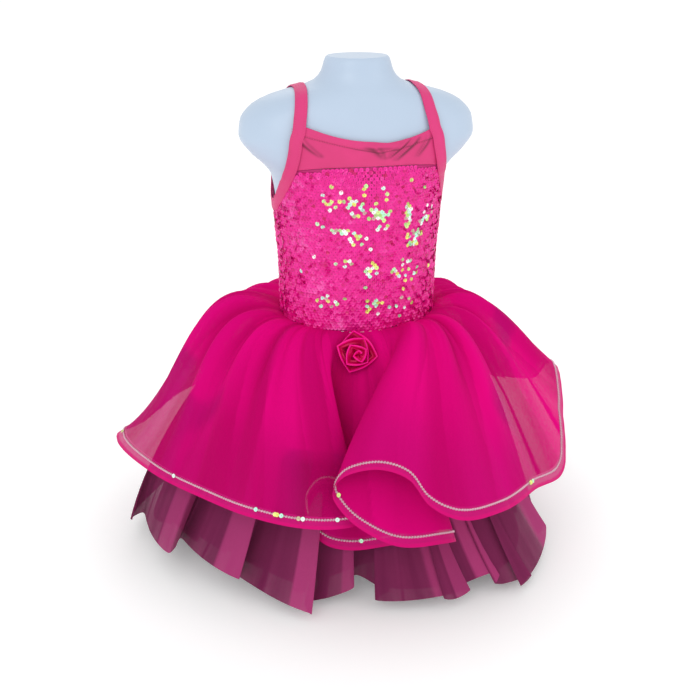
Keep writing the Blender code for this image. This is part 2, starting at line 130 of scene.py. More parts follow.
def form_level(point):
    """Below 1 inside the form, 1 on it, above 1 outside."""
    width, depth, square = form_section(point.z)
    return (abs(point.x / width) ** square + abs(point.y / depth) ** square) ** (1 / square)


def form_normal(point):
    step = 1e-5
    return Vector(
        [
            form_level(point + axis * step) - form_level(point - axis * step)
            for axis in (Vector((1, 0, 0)), Vector((0, 1, 0)), Vector((0, 0, 1)))
        ]
    ) / (2 * step)


def on_form(point, lift):
    """The point moved to lie at a distance off the form's surface."""
    point = point.copy()
    for _ in range(5):
        slope = form_normal(point)
        point -= slope * ((form_level(point) - 1) / slope.length_squared)
    return point + form_normal(point).normalized() * lift


class Wire:
    """A node's output. Sums written on it become Math nodes."""

    def __init__(self, board, socket):
        self.board = board
        self.socket = socket

    def sum(self, operation, *values):
        return self.board.add("ShaderNodeMath", {"operation": operation}, dict(enumerate(values)))

    def __add__(self, other):
        return self.sum("ADD", self, other)

    def __radd__(self, other):
        return self.sum("ADD", other, self)

    def __sub__(self, other):
        return self.sum("SUBTRACT", self, other)

    def __rsub__(self, other):
        return self.sum("SUBTRACT", other, self)

    def __mul__(self, other):
        return self.sum("MULTIPLY", self, other)

    def __truediv__(self, other):
        return self.sum("DIVIDE", self, other)

    def sine(self):
        return self.sum("SINE", self)


class Board:
    """A node tree. add() makes any node from its type, its settings and what its inputs take."""

    def __init__(self, tree):
        self.tree = tree

    def add(self, kind, settings=None, inputs=None, output=0):
        node = self.tree.nodes.new(kind)
        for name, value in (settings or {}).items():
            if name == "stops":
                self.set_stops(node.color_ramp, value)
            else:
                setattr(node, name, value)
        for name, value in (inputs or {}).items():
            self.feed(node.inputs[name], value)
        return Wire(self, node.outputs[output])

    def feed(self, socket, value):
        if isinstance(value, Wire):
            self.tree.links.new(value.socket, socket)
        else:
            socket.default_value = value

    def set_stops(self, ramp, stops):
        while len(ramp.elements) < len(stops):
            ramp.elements.new(0.5)
        for element, (place, colour) in zip(ramp.elements, stops):
            element.position = place
            element.color = (*colour, 1)


class Finish(Board):
    """A material: a Principled shader and the nodes that feed it."""

    def __init__(self, name):
        self.material = bpy.data.materials.new(name)
        self.material.use_nodes = True
        super().__init__(self.material.node_tree)
        self.shader = self.tree.nodes["Principled BSDF"]

    def set(self, **values):
        for name, value in values.items():
            self.feed(self.shader.inputs[name.replace("_", " ")], value)

    def noise(self, scale, detail=2.0, where=None):
        """Cloudy values between 0 and 1, in the object's own space unless told where."""
        where = where or self.add("ShaderNodeTexCoord", output="Object")
        inputs = {"Vector": where, "Scale": scale, "Detail": detail}
        return self.add("ShaderNodeTexNoise", None, inputs)

    def value(self, name):
        """A number that the mesh holds at its points."""
        return self.add("ShaderNodeAttribute", {"attribute_name": name}, output=2)

    def cloth(self, across=1.0, down=1.0):
        """Places across and down the cloth in metres, multiplied by two shares."""
        uv = self.add("ShaderNodeUVMap", {"uv_map": "cloth"})
        inputs = {0: uv, 1: (across, down, 1.0)}
        return self.add("ShaderNodeVectorMath", {"operation": "MULTIPLY"}, inputs)

    def waves(self, across_pitch, down_pitch):
        """Sine waves across and down the cloth."""
        across = self.add("ShaderNodeSeparateXYZ", None, {0: self.cloth()})
        down = Wire(self, across.socket.node.outputs[1])
        ways = ((across, across_pitch), (down, down_pitch))
        return [(way * (2 * math.pi / pitch)).sine() for way, pitch in ways]

    def ramp(self, value, *stops):
        return self.add("ShaderNodeValToRGB", {"stops": stops}, {"Fac": value})

    def mix(self, share, first, second):
        inputs = {0: share, 6: self.solid(first), 7: self.solid(second)}
        return self.add("ShaderNodeMix", {"data_type": "RGBA"}, inputs, output=2)

    def solid(self, colour):
        return colour if isinstance(colour, Wire) else (*colour, 1)

    def bump(self, height, distance, strength):
        inputs = {"Height": height, "Distance": distance, "Strength": strength}
        return self.add("ShaderNodeBump", None, inputs)


def finished(name, mesh, finish):
    """An object at the origin with its material, smooth but for its sharp edges."""
    made = bpy.data.objects.new(name, mesh)
    bpy.context.scene.collection.objects.link(made)
    mesh.materials.clear()
    mesh.materials.append(finish.material)
    mesh.shade_smooth()
    mesh.set_sharp_from_angle(angle=math.radians(50))
    return made


def new_piece(name, mesh, finish, node=None):
    """A finished piece of the one body, which may stand for a CAD node."""
    piece = finished(name, mesh, finish)
    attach(piece, "root")
    if node:
        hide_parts(node)
    return piece


def build_form_mesh():
    foot, neck = FOOT_EDGE[-1], NECK_EDGE[0]
    count = round(neck / FORM_ROW)
    between = [foot + (neck - foot) * i / count for i in range(1, count)]
    heights = [*FOOT_EDGE, *between, *NECK_EDGE]
    made = bmesh.new()
    rings = [
        [made.verts.new(form_point(-360 * i / FORM_SIDES, height)) for i in range(FORM_SIDES)]
        for height in heights
    ]
    for lower, upper in zip(rings, rings[1:]):
        for i in range(FORM_SIDES):
            j = (i + 1) % FORM_SIDES
            made.faces.new((upper[i], upper[j], lower[j], lower[i]))
    made.faces.new(rings[0])
    made.faces.new(list(reversed(rings[-1])))
    bmesh.ops.recalc_face_normals(made, faces=made.faces)
    mesh = bpy.data.meshes.new("form")
    made.to_mesh(mesh)
    made.free()
    return mesh


plastic = Finish("satin white plastic")
cloudy = plastic.noise(11.0, 4.0)
pores = plastic.noise(700.0)
plastic.set(
    Base_Color=plastic.mix(cloudy, (0.450, 0.555, 0.695), (0.500, 0.605, 0.745)),
    Roughness=0.34 + cloudy * 0.12,
    Normal=plastic.bump(pores, 0.00004, 0.4),
    Coat_Weight=0.08,
)

new_piece("moulded_form", build_form_mesh(), plastic, "dress_form")

# The back of the bodice
# One panel of matte stretch spandex from a scooped back neckline to the waist, cut close and
# pulled smooth by the form. It is seamed to the front down both sides, under the arms.

WAIST_HEIGHT = 0.3475
WAIST_DIP = 0.0085
PANEL_LIFT = 0.0019
SPANDEX = 0.0010
SIDE_SEAM = 0.0004
UNDERARM_HEIGHT = 0.503
STRAP_BASE_HEIGHT = 0.597
ARMHOLE_TOP_X = 0.094
BACK_NECK_HEIGHT = 0.560
BACK_NECK_RISE = 0.037
PANEL_COLUMNS = 96
BODY_RADIUS = 0.1
KNIT_RIB, KNIT_COURSE = 0.0007, 0.0009
TUCK_HEIGHT, TUCK_RUN = 0.580, 0.020

# Creases across the back: start angle and height, end angle and height, half width, rise
BACK_CREASES = (
    (98, 0.362, 128, 0.374, 0.0035, 0.0009),
    (100, 0.378, 121, 0.392, 0.0030, 0.0007),
    (262, 0.360, 236, 0.371, 0.0035, 0.0010),
    (259, 0.380, 241, 0.398, 0.0030, 0.0007),
    (112, 0.486, 134, 0.512, 0.0040, 0.0009),
    (247, 0.484, 222, 0.515, 0.0040, 0.0009),
    (150, 0.358, 196, 0.362, 0.0030, 0.0007),
)


def waist_height(angle):
    """Height of the waist seam, which dips in front."""
    return WAIST_HEIGHT - WAIST_DIP * math.cos(math.radians(angle))


def form_angle(x, height):
    """Angle from the front of the form's point that far from the middle."""
    width, _, square = form_section(height)
    return math.degrees(math.asin(min(1.0, abs(x) / width) ** (square / 2)))


def armhole_x(height):
    """How far from the middle the armhole's edge runs, between the underarm and the strap's base."""
    share = (height - UNDERARM_HEIGHT) / (STRAP_BASE_HEIGHT - UNDERARM_HEIGHT)
    share = min(max(share, 0.0), 1.0)
    under = form_section(UNDERARM_HEIGHT)[0]
    return ARMHOLE_TOP_X + (under - ARMHOLE_TOP_X) * (1 - share) ** 1.2


def edge_angle(height):
    """Angle of a front panel's side edge: the side seam, then the armhole."""
    if height <= UNDERARM_HEIGHT:
        return 90.0
    return form_angle(armhole_x(height), height)


def back_neckline(x):
    return BACK_NECK_HEIGHT + BACK_NECK_RISE * min(1.0, abs(x) / ARMHOLE_TOP_X) ** 2.2


def back_waist_edge(across):
    return waist_height(180 - 90 * across)


def hump(value, middle=0.0, half_width=1.0, power=2):
    """1 at the middle, falling softly to 0 on both sides."""
    return math.exp(-(((value - middle) / half_width) ** power))


def crease_rise(angle, height, creases):
    """How far a table of creases lifts the cloth at a place on the body."""
    lift = 0.0
    for angle_a, height_a, angle_b, height_b, half_width, rise in creases:
        start = Vector((math.radians(angle_a) * BODY_RADIUS, height_a))
        line = Vector((math.radians(angle_b) * BODY_RADIUS, height_b)) - start
        here = Vector((math.radians(angle) * BODY_RADIUS, height)) - start
        along = min(max(here.dot(line) / line.length_squared, 0.0), 1.0)
        off = (here - line * along).length / half_width
        lift += rise * hump(off) * math.sin(math.pi * (0.08 + 0.84 * along)) ** 0.7
    return lift


def eased(share):
    """Between 0 and 1, starting and ending gently."""
    share = min(max(share, 0.0), 1.0)
    return share * share * (3 - 2 * share)


def panel_grid(top, bottom, rows, facing=1, creases=(), tuck=0.0):
    """Rows of points on the form between a panel's upper and lower edges and its side edges."""
    seam = math.degrees(SIDE_SEAM / form_section(UNDERARM_HEIGHT)[0]) / 2
    grid = []
    for r in range(rows + 1):
        row = []
        for c in range(PANEL_COLUMNS + 1):
            across = -1 + 2 * c / PANEL_COLUMNS
            high = top(across * ARMHOLE_TOP_X)
            height = high + (bottom(across) - high) * r / rows
            inset = tuck * eased((height - TUCK_HEIGHT) / TUCK_RUN)
            angle = across * (edge_angle(height) - seam - inset)
            point = form_point(angle, height)
            if facing < 0:
                point.y = -point.y
                angle = 180 - angle
            row.append(on_form(point, PANEL_LIFT + crease_rise(angle, height, creases)))
        grid.append(row if facing > 0 else row[::-1])
    return grid


def cloth_mesh(name, grid, closed, **values):
    """Quads through rows of points, with a UV map in metres and named values at its points.
    Seen from outside, columns run to the right and rows run down."""
    made = bmesh.new()
    rows = [[made.verts.new(point) for point in row] for row in grid]
    count = len(rows[0])
    longest = max(grid, key=lambda row: sum((a - b).length for a, b in zip(row, row[1:])))
    across = [0.0]
    for a, b in zip(longest, longest[1:] + longest[:1]):
        across.append(across[-1] + (b - a).length)
    down = [0.0]
    for a, b in zip(grid, grid[1:]):
        down.append(down[-1] + sum((p - q).length for p, q in zip(a, b)) / count)
    uv = made.loops.layers.uv.new("cloth")
    for r, (upper, lower) in enumerate(zip(rows, rows[1:])):
        for i in range(count if closed else count - 1):
            j = (i + 1) % count
            face = made.faces.new((upper[i], lower[i], lower[j], upper[j]))
            corners = ((i, r), (i, r + 1), (i + 1, r + 1), (i + 1, r))
            for loop, (column, row) in zip(face.loops, corners):
                loop[uv].uv = (across[column], down[row])
    mesh = bpy.data.meshes.new(name)
    made.to_mesh(mesh)
    made.free()
    for key, numbers in values.items():
        mesh.attributes.new(key, "FLOAT", "POINT").data.foreach_set("value", numbers)
    return mesh


def cloth_piece(name, grid, finish, slot, node, closed=False, wall=0.0, side=1.0, **values):
    """A piece of cloth through rows of points. Side 1 puts all of its wall outside them."""
    piece = new_piece(name, cloth_mesh(name, grid, closed, **values), finish, node)
    if wall:
        made = piece.modifiers.new("wall", "SOLIDIFY")
        made.thickness = wall
        made.offset = side
        made.use_even_offset = False
    return piece


def stretch_knit(name, colour, shade):
    """Matte stretch cloth: fine ribs, a soft nap, uneven colour, and painted shade where it folds.
    """
    knit = Finish(name)
    across, down = knit.waves(KNIT_RIB, KNIT_COURSE)
    cloudy = knit.noise(26.0, 4.0)
    # Painted shade: where the fold value is high, the colour goes to a deep shade of the cloth.
    deep = tuple(part * 0.32 for part in shade)
    knit.set(
        Base_Color=knit.mix(knit.value("fold"), knit.mix(cloudy, shade, colour), deep),
        Roughness=0.50 + cloudy * 0.12,
        Normal=knit.bump((across + down * 0.6) * 0.5 + cloudy, 0.00012, 0.5),
        Sheen_Weight=0.20,
        Sheen_Roughness=0.35,
        Sheen_Tint=(1.0, 0.45, 0.65, 1),
    )
    return knit


spandex = stretch_knit("pink spandex", (0.77, 0.035, 0.218), (0.60, 0.021, 0.148))

grid = panel_grid(back_neckline, back_waist_edge, 90, facing=-1, creases=BACK_CREASES)
back = cloth_piece("back_panel", grid, spandex, "spandex", "bodice_back", wall=SPANDEX)

# The front panel of the bodice
# Stretch mesh, cut to lie flat from the yoke seam to the waist seam and sewn over with rows of
# sequins before it is cut. Little of the mesh shows between them.

YOKE_SEAM_HEIGHT = 0.5545
YOKE_SEAM_DROP = 0.0075
MESH_CLOTH = 0.0012


def yoke_seam(x):
    return YOKE_SEAM_HEIGHT - YOKE_SEAM_DROP * abs(x / ARMHOLE_TOP_X) ** 4


def waist_edge(across):
    return waist_height(90 * across)


backing = stretch_knit("sequin backing mesh", (0.62, 0.010, 0.200), (0.40, 0.004, 0.110))
grid = panel_grid(yoke_seam, waist_edge, 70)
front = cloth_piece("front_panel", grid, backing, "sequin_cloth", "bodice_front", wall=MESH_CLOTH)

# The sequins
# Cupped discs of pink plastic with an iridescent skin and a hole in the middle, sewn on in close
# staggered rows so that each laps its neighbours. Some carry painted glints of lime and white.

SEQUIN = 0.0056
SEQUIN_HOLE = 0.0010
SEQUIN_CUP = 0.0007
SEQUIN_PITCH = 0.0043
SEQUIN_ROW = 0.0037
SEQUIN_LIFT = PANEL_LIFT + MESH_CLOTH + 0.0009
SEQUIN_TILT = -0.20
SEQUIN_SCATTER = 0.13
SEQUIN_SEAM = SEQUIN * 0.30
TONE, TONE_SPREAD = 0.45, 0.13
DULL_SHARE, DULL_DROP = 0.05, 0.30
PALE_SHARE, PALE_RISE = 0.75, 0.35

# Painted glints: angle, height, half width in degrees, half height, share of sequins that get one
PAINTED_GLINT_SPOTS = (
    (-19, 0.476, 8, 0.003, 0.80),
    (-22, 0.516, 13, 0.014, 0.13),
    (-4, 0.520, 16, 0.018, 0.12),
    (0, 0.498, 13, 0.006, 0.50),
    (9, 0.492, 7, 0.011, 0.62),
    (25, 0.492, 3, 0.016, 0.90),
    (-8, 0.466, 6, 0.010, 0.60),
    (4, 0.480, 9, 0.004, 0.60),
    (32, 0.460, 9, 0.012, 0.55),
    (42, 0.490, 9, 0.016, 0.20),
    (-18, 0.434, 6, 0.006, 0.50),
    (1, 0.424, 4, 0.010, 0.75),
    (24, 0.415, 14, 0.018, 0.16),
    (2, 0.374, 5, 0.010, 0.60),
    (-26, 0.380, 12, 0.012, 0.16),
    (18, 0.372, 16, 0.016, 0.22),
    (5, 0.440, 60, 0.110, 0.010),
)
# Patches of paler sequins: angle, height, radius
PALE_PATCHES = (
    (-62, 0.500, 0.024),
    (-48, 0.458, 0.030),
    (-38, 0.400, 0.026),
    (-22, 0.350, 0.024),
    (-50, 0.540, 0.022),
    (60, 0.420, 0.018),
)


def sequin_places(chance):
    """Each sequin's point, the way it faces, its tone and its painted glint, row by row."""
    places = []
    height = WAIST_HEIGHT - WAIST_DIP + SEQUIN_SEAM
    row = 0
    while height < YOKE_SEAM_HEIGHT - SEQUIN_SEAM:
        width, depth, _ = form_section(height)
        side = edge_angle(height) - math.degrees(SEQUIN_SEAM / width)
        arc = math.radians(side) * math.sqrt((width**2 + depth**2) / 2)
        count = int(arc / SEQUIN_PITCH)
        for i in range(-count, count + 1):
            angle = (i + 0.5 * (row % 2)) / count * side
            if abs(angle) > side or height < waist_height(angle) + SEQUIN_SEAM * 0.8:
                continue
            point = form_point(angle, height)
            if height > yoke_seam(point.x) - SEQUIN_SEAM:
                continue
            facing = form_normal(point).normalized()
            point = on_form(point, SEQUIN_LIFT)
            places.append((point, facing, *sequin_tone(angle, point, chance)))
        height += SEQUIN_ROW
        row += 1
    return places


def sequin_tone(angle, point, chance):
    """How pale a sequin is, and which painted glint colour it has if any, between 0 and 1."""
    tone = chance.normal(TONE, TONE_SPREAD)
    if chance.random() < DULL_SHARE:
        tone -= DULL_DROP
    for centre, height, radius in PALE_PATCHES:
        off = math.hypot(math.radians(angle - centre) * BODY_RADIUS, point.z - height) / radius
        if off < 1 and chance.random() < PALE_SHARE:
            tone += PALE_RISE * (1 - off * off)
    flash = 0.0
    for centre, height, half_width, half_height, share in PAINTED_GLINT_SPOTS:
        off = math.hypot((angle - centre) / half_width, (point.z - height) / half_height)
        if off < 1 and chance.random() < share:
            flash = chance.uniform(0.15, 1.0)
    return min(max(tone, 0.0), 1.0), flash


class Grower(Board):
    """A Geometry Nodes tree with named inputs, which turns a source mesh into a plain one."""

    def __init__(self, name, **inputs):
        super().__init__(bpy.data.node_groups.new(name, "GeometryNodeTree"))
        face = self.tree.interface
        face.new_socket("Source", in_out="INPUT", socket_type="NodeSocketGeometry")
        for key, kind in inputs.items():
            face.new_socket(key, in_out="INPUT", socket_type="NodeSocket" + kind)
        face.new_socket("Finish", in_out="INPUT", socket_type="NodeSocketMaterial")
        face.new_socket("Result", in_out="OUTPUT", socket_type="NodeSocketGeometry")
        self.given = self.tree.nodes.new("NodeGroupInput").outputs

    def input(self, name):
        return Wire(self, self.given[name])

    def geometry(self, kind, **inputs):
        named = {key.replace("_", " "): value for key, value in inputs.items()}
        return self.add("GeometryNode" + kind, None, named)

    def vector(self, x=0.0, y=0.0, z=0.0):
        return self.add("ShaderNodeCombineXYZ", None, {0: x, 1: y, 2: z})

    def source_line(self, spacing):
        """The source's edges as curves, with points at an even spacing."""
        curve = self.geometry("MeshToCurve", Mesh=self.input("Source"))
        inputs = {"Curve": curve, "Length": spacing}
        return self.add("GeometryNodeResampleCurve", {"mode": "LENGTH"}, inputs)

    def close(self, result):
        real = self.geometry("RealizeInstances", Geometry=result)
        dressed = self.geometry("SetMaterial", Geometry=real, Material=self.input("Finish"))
        self.tree.links.new(dressed.socket, self.tree.nodes.new("NodeGroupOutput").inputs[0])

    def grow(self, source, **values):
        """The mesh that the tree makes from a source mesh."""
        holder = bpy.data.objects.new(source.name, source)
        bpy.context.scene.collection.objects.link(holder)
        nodes = holder.modifiers.new("grown", "NODES")
        nodes.node_group = self.tree
        for item in self.tree.interface.items_tree:
            if item.name in values:
                nodes[item.identifier] = values[item.name]
        ready = holder.evaluated_get(bpy.context.evaluated_depsgraph_get())
        mesh = bpy.data.meshes.new_from_object(ready)
        bpy.data.objects.remove(holder)
        return mesh


def sequin_grower():
    """Sets a cupped disc with a hole on each point, facing out and leaning as it laps."""
    board = Grower(
        "sequins", Diameter="Float", Hole="Float", Cup="Float", Tilt="Float", Scatter="Float"
    )
    size, hole, cup = (board.input(name) for name in ("Diameter", "Hole", "Cup"))
    tilt, scatter = (board.input(name) for name in ("Tilt", "Scatter"))
    inner = board.geometry("CurvePrimitiveCircle", Resolution=6, Radius=hole * 0.5)
    outer = board.geometry("CurvePrimitiveCircle", Resolution=12, Radius=size * 0.5)
    rims = board.tree.nodes.new("GeometryNodeJoinGeometry")
    for rim in (inner, outer):
        board.tree.links.new(rim.socket, rims.inputs[0])
    disc = board.geometry("FillCurve", Curve=Wire(board, rims.outputs[0]))
    spot = board.add("GeometryNodeInputPosition")
    out = board.add("ShaderNodeVectorMath", {"operation": "LENGTH"}, {0: spot}, output=1)
    rise = board.vector(z=out / size * cup * 2.0)
    dish = board.geometry("SetPosition", Geometry=disc, Offset=rise)
    facing = board.add(
        "GeometryNodeInputNamedAttribute", {"data_type": "FLOAT_VECTOR"}, {"Name": "facing"}
    )
    upright = board.add("FunctionNodeAlignRotationToVector", {"axis": "Z"}, {"Vector": facing})
    level = board.add(
        "FunctionNodeAlignRotationToVector",
        {"axis": "Y", "pivot_axis": "Z"},
        {"Rotation": upright, "Vector": (0.0, 0.0, 1.0)},
    )
    low = board.vector(tilt - scatter, 0.0 - scatter, -3.0)
    high = board.vector(tilt + scatter, scatter, 3.0)
    inputs = {"Min": low, "Max": high, "Seed": 7}
    lean = board.add("FunctionNodeRandomValue", {"data_type": "FLOAT_VECTOR"}, inputs)
    turn = board.add("FunctionNodeEulerToRotation", None, {0: lean})
    turned = board.add(
        "FunctionNodeRotateRotation", {"rotation_space": "LOCAL"}, {0: level, 1: turn}
    )
    board.close(
        board.geometry(
            "InstanceOnPoints", Points=board.input("Source"), Instance=dish, Rotation=turned
        )
    )
    return board


def point_mesh(name, points, **values):
    """Loose points, each with named values: numbers, or directions for the value facing."""
    mesh = bpy.data.meshes.new(name)
    mesh.from_pydata(points, [], [])
    for key, numbers in values.items():
        if key == "facing":
            made = mesh.attributes.new(key, "FLOAT_VECTOR", "POINT")
            made.data.foreach_set("vector", np.array(numbers, dtype=np.float32).ravel())
        else:
            mesh.attributes.new(key, "FLOAT", "POINT").data.foreach_set("value", numbers)
    return mesh


def sequin_film():
    """Pink plastic discs, paler or deeper from one to the next, and painted glints of light on some.
    """
    film = Finish("iridescent pink sequins")
    tone, flash = film.value("tone"), film.value("flash")
    pink = film.ramp(
        tone,
        (0.00, (0.60, 0.000, 0.120)),
        (0.30, (0.82, 0.003, 0.270)),
        (0.60, (0.88, 0.009, 0.320)),
        (1.00, (0.93, 0.095, 0.450)),
    )
    # Painted reflections: the lime, yellow, aqua and white glints that light makes off a sequin
    glint = film.ramp(
        flash,
        (0.10, (0.80, 0.30, 0.45)),
        (0.20, (0.62, 0.42, 0.36)),
        (0.25, (0.42, 0.80, 0.22)),
        (0.40, (0.90, 0.88, 0.18)),
        (0.55, (0.55, 0.98, 0.42)),
        (0.70, (0.52, 0.97, 0.80)),
        (0.85, (0.95, 1.00, 0.96)),
        (1.00, (1.00, 1.00, 1.00)),
    )
    lit = flash.sum("GREATER_THAN", flash, 0.05)
    film.set(
        Base_Color=film.mix(lit, pink, glint),
        Metallic=0.25,
        Roughness=0.26 + tone * 0.10,
        Specular_IOR_Level=0.4,
        Coat_Weight=0.25,
        Coat_Roughness=0.12,
    )
    return film


film = sequin_film()
grower = sequin_grower()


def sown_sequins(name, places, tilt):
    """One piece of sequins, one at each place."""
    points, facings, tones, painted_glints = zip(*places)
    mesh = grower.grow(
        point_mesh(name, points, facing=facings, tone=tones, flash=painted_glints),
        Diameter=SEQUIN,
        Hole=SEQUIN_HOLE,
        Cup=SEQUIN_CUP,
        Tilt=tilt,
        Scatter=SEQUIN_SCATTER,
        Finish=film.material,
    )
    return new_piece(name, mesh, film)


sequins = sown_sequins("sequins", sequin_places(np.random.default_rng(11)), SEQUIN_TILT)

# The yoke
# Spandex across the chest. Its neckline is folded to the inside and held by two rows of
# stitches, and it is drawn in at the straps, which pulls a few creases across it.

NECK_HEIGHT = 0.582
NECK_RISE = 0.0215
NECK_DIP_X = 0.014
NECK_HEM = 0.0095
NECK_HEM_RISE = 0.0006
# Creases of the yoke: start angle and height, end angle and height, half width, rise
YOKE_CREASES = (
    (-31, 0.598, -21, 0.571, 0.0023, 0.0022),
    (-2.6, 0.5785, 9.6, 0.5775, 0.0026, 0.0010),
    (0.4, 0.580, 4.6, 0.566, 0.0020, 0.0018),
    (14.6, 0.587, 7.1, 0.567, 0.0021, 0.0022),
    (18.8, 0.588, 10.5, 0.564, 0.0021, 0.0020),
    (25, 0.589, 21.5, 0.567, 0.0020, 0.0014),
)
# How far beside a crease its flank is felt for, and the slope's rise that is shaded fully
FLANK_TURN, FLANK_DROP, FLANK_RISE = 0.6, 0.0011, 0.0014
STITCH_LENGTH = 0.0021
STITCH_PITCH = 0.0031
THREAD = 0.00055
NECK_STITCH_ROWS = (0.0066, 0.0090)
STITCHED_SHARE = 0.985


def neckline(x):
    return NECK_HEIGHT + NECK_RISE * abs((x - NECK_DIP_X) / ARMHOLE_TOP_X) ** 1.25


def yoke_edge(across):
    return yoke_seam(across * ARMHOLE_TOP_X) + SIDE_SEAM


def hemmed(grid, top, depth, rise):
    """Lifts the folded edge of a panel, down to its stitching, and leaves a small roll along it."""
    made = []
    for row in grid:
        moved = []
        for point in row:
            down = (top(point.x) - point.z) / depth
            fold = min(max((1.12 - down) / 0.12, 0.0), 1.0)
            roll = hump(down, 0.10, 0.16) * 0.5
            moved.append(point + form_normal(point).normalized() * (rise * (fold + roll)))
        made.append(moved)
    return made


def fold_shade(point):
    """How much shade is painted on the yoke, from 0 to 1: on the flanks of its creases, less on
    those that face the light, and in the groove below the folded neck edge."""
    angle = math.copysign(form_angle(point.x, point.z), point.x)
    shade = 0.0
    for turn, strength in ((FLANK_TURN, 1.0), (-FLANK_TURN, 0.7)):
        near = crease_rise(angle - turn, point.z + FLANK_DROP, YOKE_CREASES)
        far = crease_rise(angle + turn, point.z - FLANK_DROP, YOKE_CREASES)
        shade = max(shade, strength * (near - far) / FLANK_RISE)
    down = (neckline(point.x) - point.z) / NECK_HEM
    return min(shade + 0.6 * hump(down, 1.12, 0.09), 1.0)


def stitch_grower():
    """Sets a short bar of thread along a line at every pitch."""
    board = Grower("stitches", Length="Float", Thread="Float", Pitch="Float")
    length, thread = board.input("Length"), board.input("Thread")
    even = board.source_line(board.input("Pitch"))
    bar = board.geometry("MeshUVSphere", Segments=6, Rings=4, Radius=0.5)
    shape = board.geometry("Transform", Geometry=bar, Scale=board.vector(thread, thread, length))
    along = board.add("GeometryNodeInputTangent")
    aim = board.add("FunctionNodeAlignRotationToVector", {"axis": "Z"}, {"Vector": along})
    board.close(board.geometry("InstanceOnPoints", Points=even, Instance=shape, Rotation=aim))
    return board


def line_mesh(name, lines, closed=False):
    """Edges along one or more runs of points."""
    points, edges = [], []
    for line in lines:
        start = len(points)
        points += line
        edges += [(start + i, start + i + 1) for i in range(len(line) - 1)]
        if closed:
            edges.append((len(points) - 1, start))
    mesh = bpy.data.meshes.new(name)
    mesh.from_pydata(points, edges, [])
    return mesh


def thread_finish(name, colour, roughness, metallic=0.0):
    """Spun thread: glossy along its strands, with a little change of colour from place to place."""
    spun = Finish(name)
    cloudy = spun.noise(900.0)
    deeper = tuple(part * 0.72 for part in colour)
    spun.set(
        Base_Color=spun.mix(cloudy, deeper, colour),
        Roughness=roughness + cloudy * 0.15,
        Metallic=metallic,
        Sheen_Weight=0.2,
    )
    return spun


def panel_line(top, down, lift):
    """A line across the front at a distance below a panel's upper edge."""
    line = []
    for c in range(PANEL_COLUMNS + 1):
        across = (-1 + 2 * c / PANEL_COLUMNS) * STITCHED_SHARE
        height = top(across * ARMHOLE_TOP_X) - down
        line.append(on_form(form_point(across * edge_angle(height), height), lift))
    return line


thread = thread_finish("pink thread", (0.80, 0.060, 0.225), 0.45)
stitcher = stitch_grower()


def stitched(
    name,
    lines,
    closed=False,
    finish=thread,
    length=STITCH_LENGTH,
    width=THREAD,
    pitch=STITCH_PITCH,
):
    """Rows of stitches along lines, as one piece."""
    mesh = stitcher.grow(
        line_mesh(name, lines, closed),
        Length=length,
        Thread=width,
        Pitch=pitch,
        Finish=finish.material,
    )
    return new_piece(name, mesh, finish)


grid = panel_grid(neckline, yoke_edge, 56, creases=YOKE_CREASES, tuck=2.5)
grid = hemmed(grid, neckline, NECK_HEM, NECK_HEM_RISE)
folds = [fold_shade(point) for row in grid for point in row]
yoke = cloth_piece("yoke_panel", grid, spandex, "spandex", "yoke_front", wall=SPANDEX, fold=folds)
surface = PANEL_LIFT + SPANDEX + NECK_HEM_RISE
lines = [panel_line(neckline, down, surface) for down in NECK_STITCH_ROWS]
neck_stitches = stitched("neckline_stitches", lines)

# The straps
# A strip of spandex folded over each armhole's raw edge and stitched down, which runs on over the
# shoulder as the strap. The front and the back hang from these two loops. Right and left are as
# seen from the front.

STRAP_WIDTH = 0.015
STRAP_WALL = 0.0011
STRAP_COLUMNS = 300
STRAP_EDGE_ROLL = 0.0006
STRAP_INWARD = STRAP_WIDTH * 0.46
STRAP_OVER_PANELS = 0.0010
# Where the rows across the strap and its two stitched lines lie, as shares of its width
STRAP_WAYS = (-0.5, -0.46, -0.38, -0.2, 0, 0.2, 0.38, 0.46, 0.5)
STRAP_STITCH_WAYS = (-0.36, 0.36)
ARMHOLE_STEPS = (0.0, 0.03, 0.08, 0.16, 0.28, 0.42, 0.58, 0.75, 0.90)
SHOULDER_STEPS = 14
SHOULDER_FROM, SHOULDER_TURN = 20, 140
SWING_NEAR, SWING_FAR, SWING_HALVINGS = 0.005, 0.12, 30
SETTLES_ABOVE, SETTLES_OVER = STRAP_BASE_HEIGHT + 0.004, 0.022
SHOULDER_X = 0.075
SHOULDER_SWING_HEIGHT = 0.575
SHOULDER_LIFT = 0.0012
FORM_HEIGHT = FORM_RINGS[-1][0]


def armhole_run():
    """Middle line of the strap up the front of the armhole, from the side seam."""
    points = []
    for share in ARMHOLE_STEPS:
        height = UNDERARM_HEIGHT - STRAP_INWARD * (1 - share) ** 3
        height += (STRAP_BASE_HEIGHT - UNDERARM_HEIGHT) * share
        reach = armhole_x(height) - STRAP_INWARD * share**0.4
        points.append(form_point(form_angle(reach, height) if share else 90.0, height))
    return points


def shoulder_run():
    """Middle line of the strap over the shoulder, where a swinging line meets the form."""
    base_x = armhole_x(STRAP_BASE_HEIGHT) - STRAP_INWARD
    points = []
    for i in range(SHOULDER_STEPS + 1):
        turn = math.radians(SHOULDER_FROM + SHOULDER_TURN * i / SHOULDER_STEPS)
        x = base_x + (SHOULDER_X - base_x) * math.sin(turn) ** 1.5
        near, far = SWING_NEAR, SWING_FAR
        for _ in range(SWING_HALVINGS):
            middle = (near + far) / 2
            height = SHOULDER_SWING_HEIGHT + middle * math.sin(turn)
            point = Vector((x, -middle * math.cos(turn), height))
            inside = form_level(point) < 1 and point.z < FORM_HEIGHT
            near, far = (middle, far) if inside else (near, middle)
        points.append(point)
    return points


def smooth_between(a, b, c, d, share):
    """Catmull-Rom value between b and c."""
    return 0.5 * (
        2 * b
        + (c - a) * share
        + (2 * a - 5 * b + 4 * c - d) * share**2
        + (3 * b - a - 3 * c + d) * share**3
    )


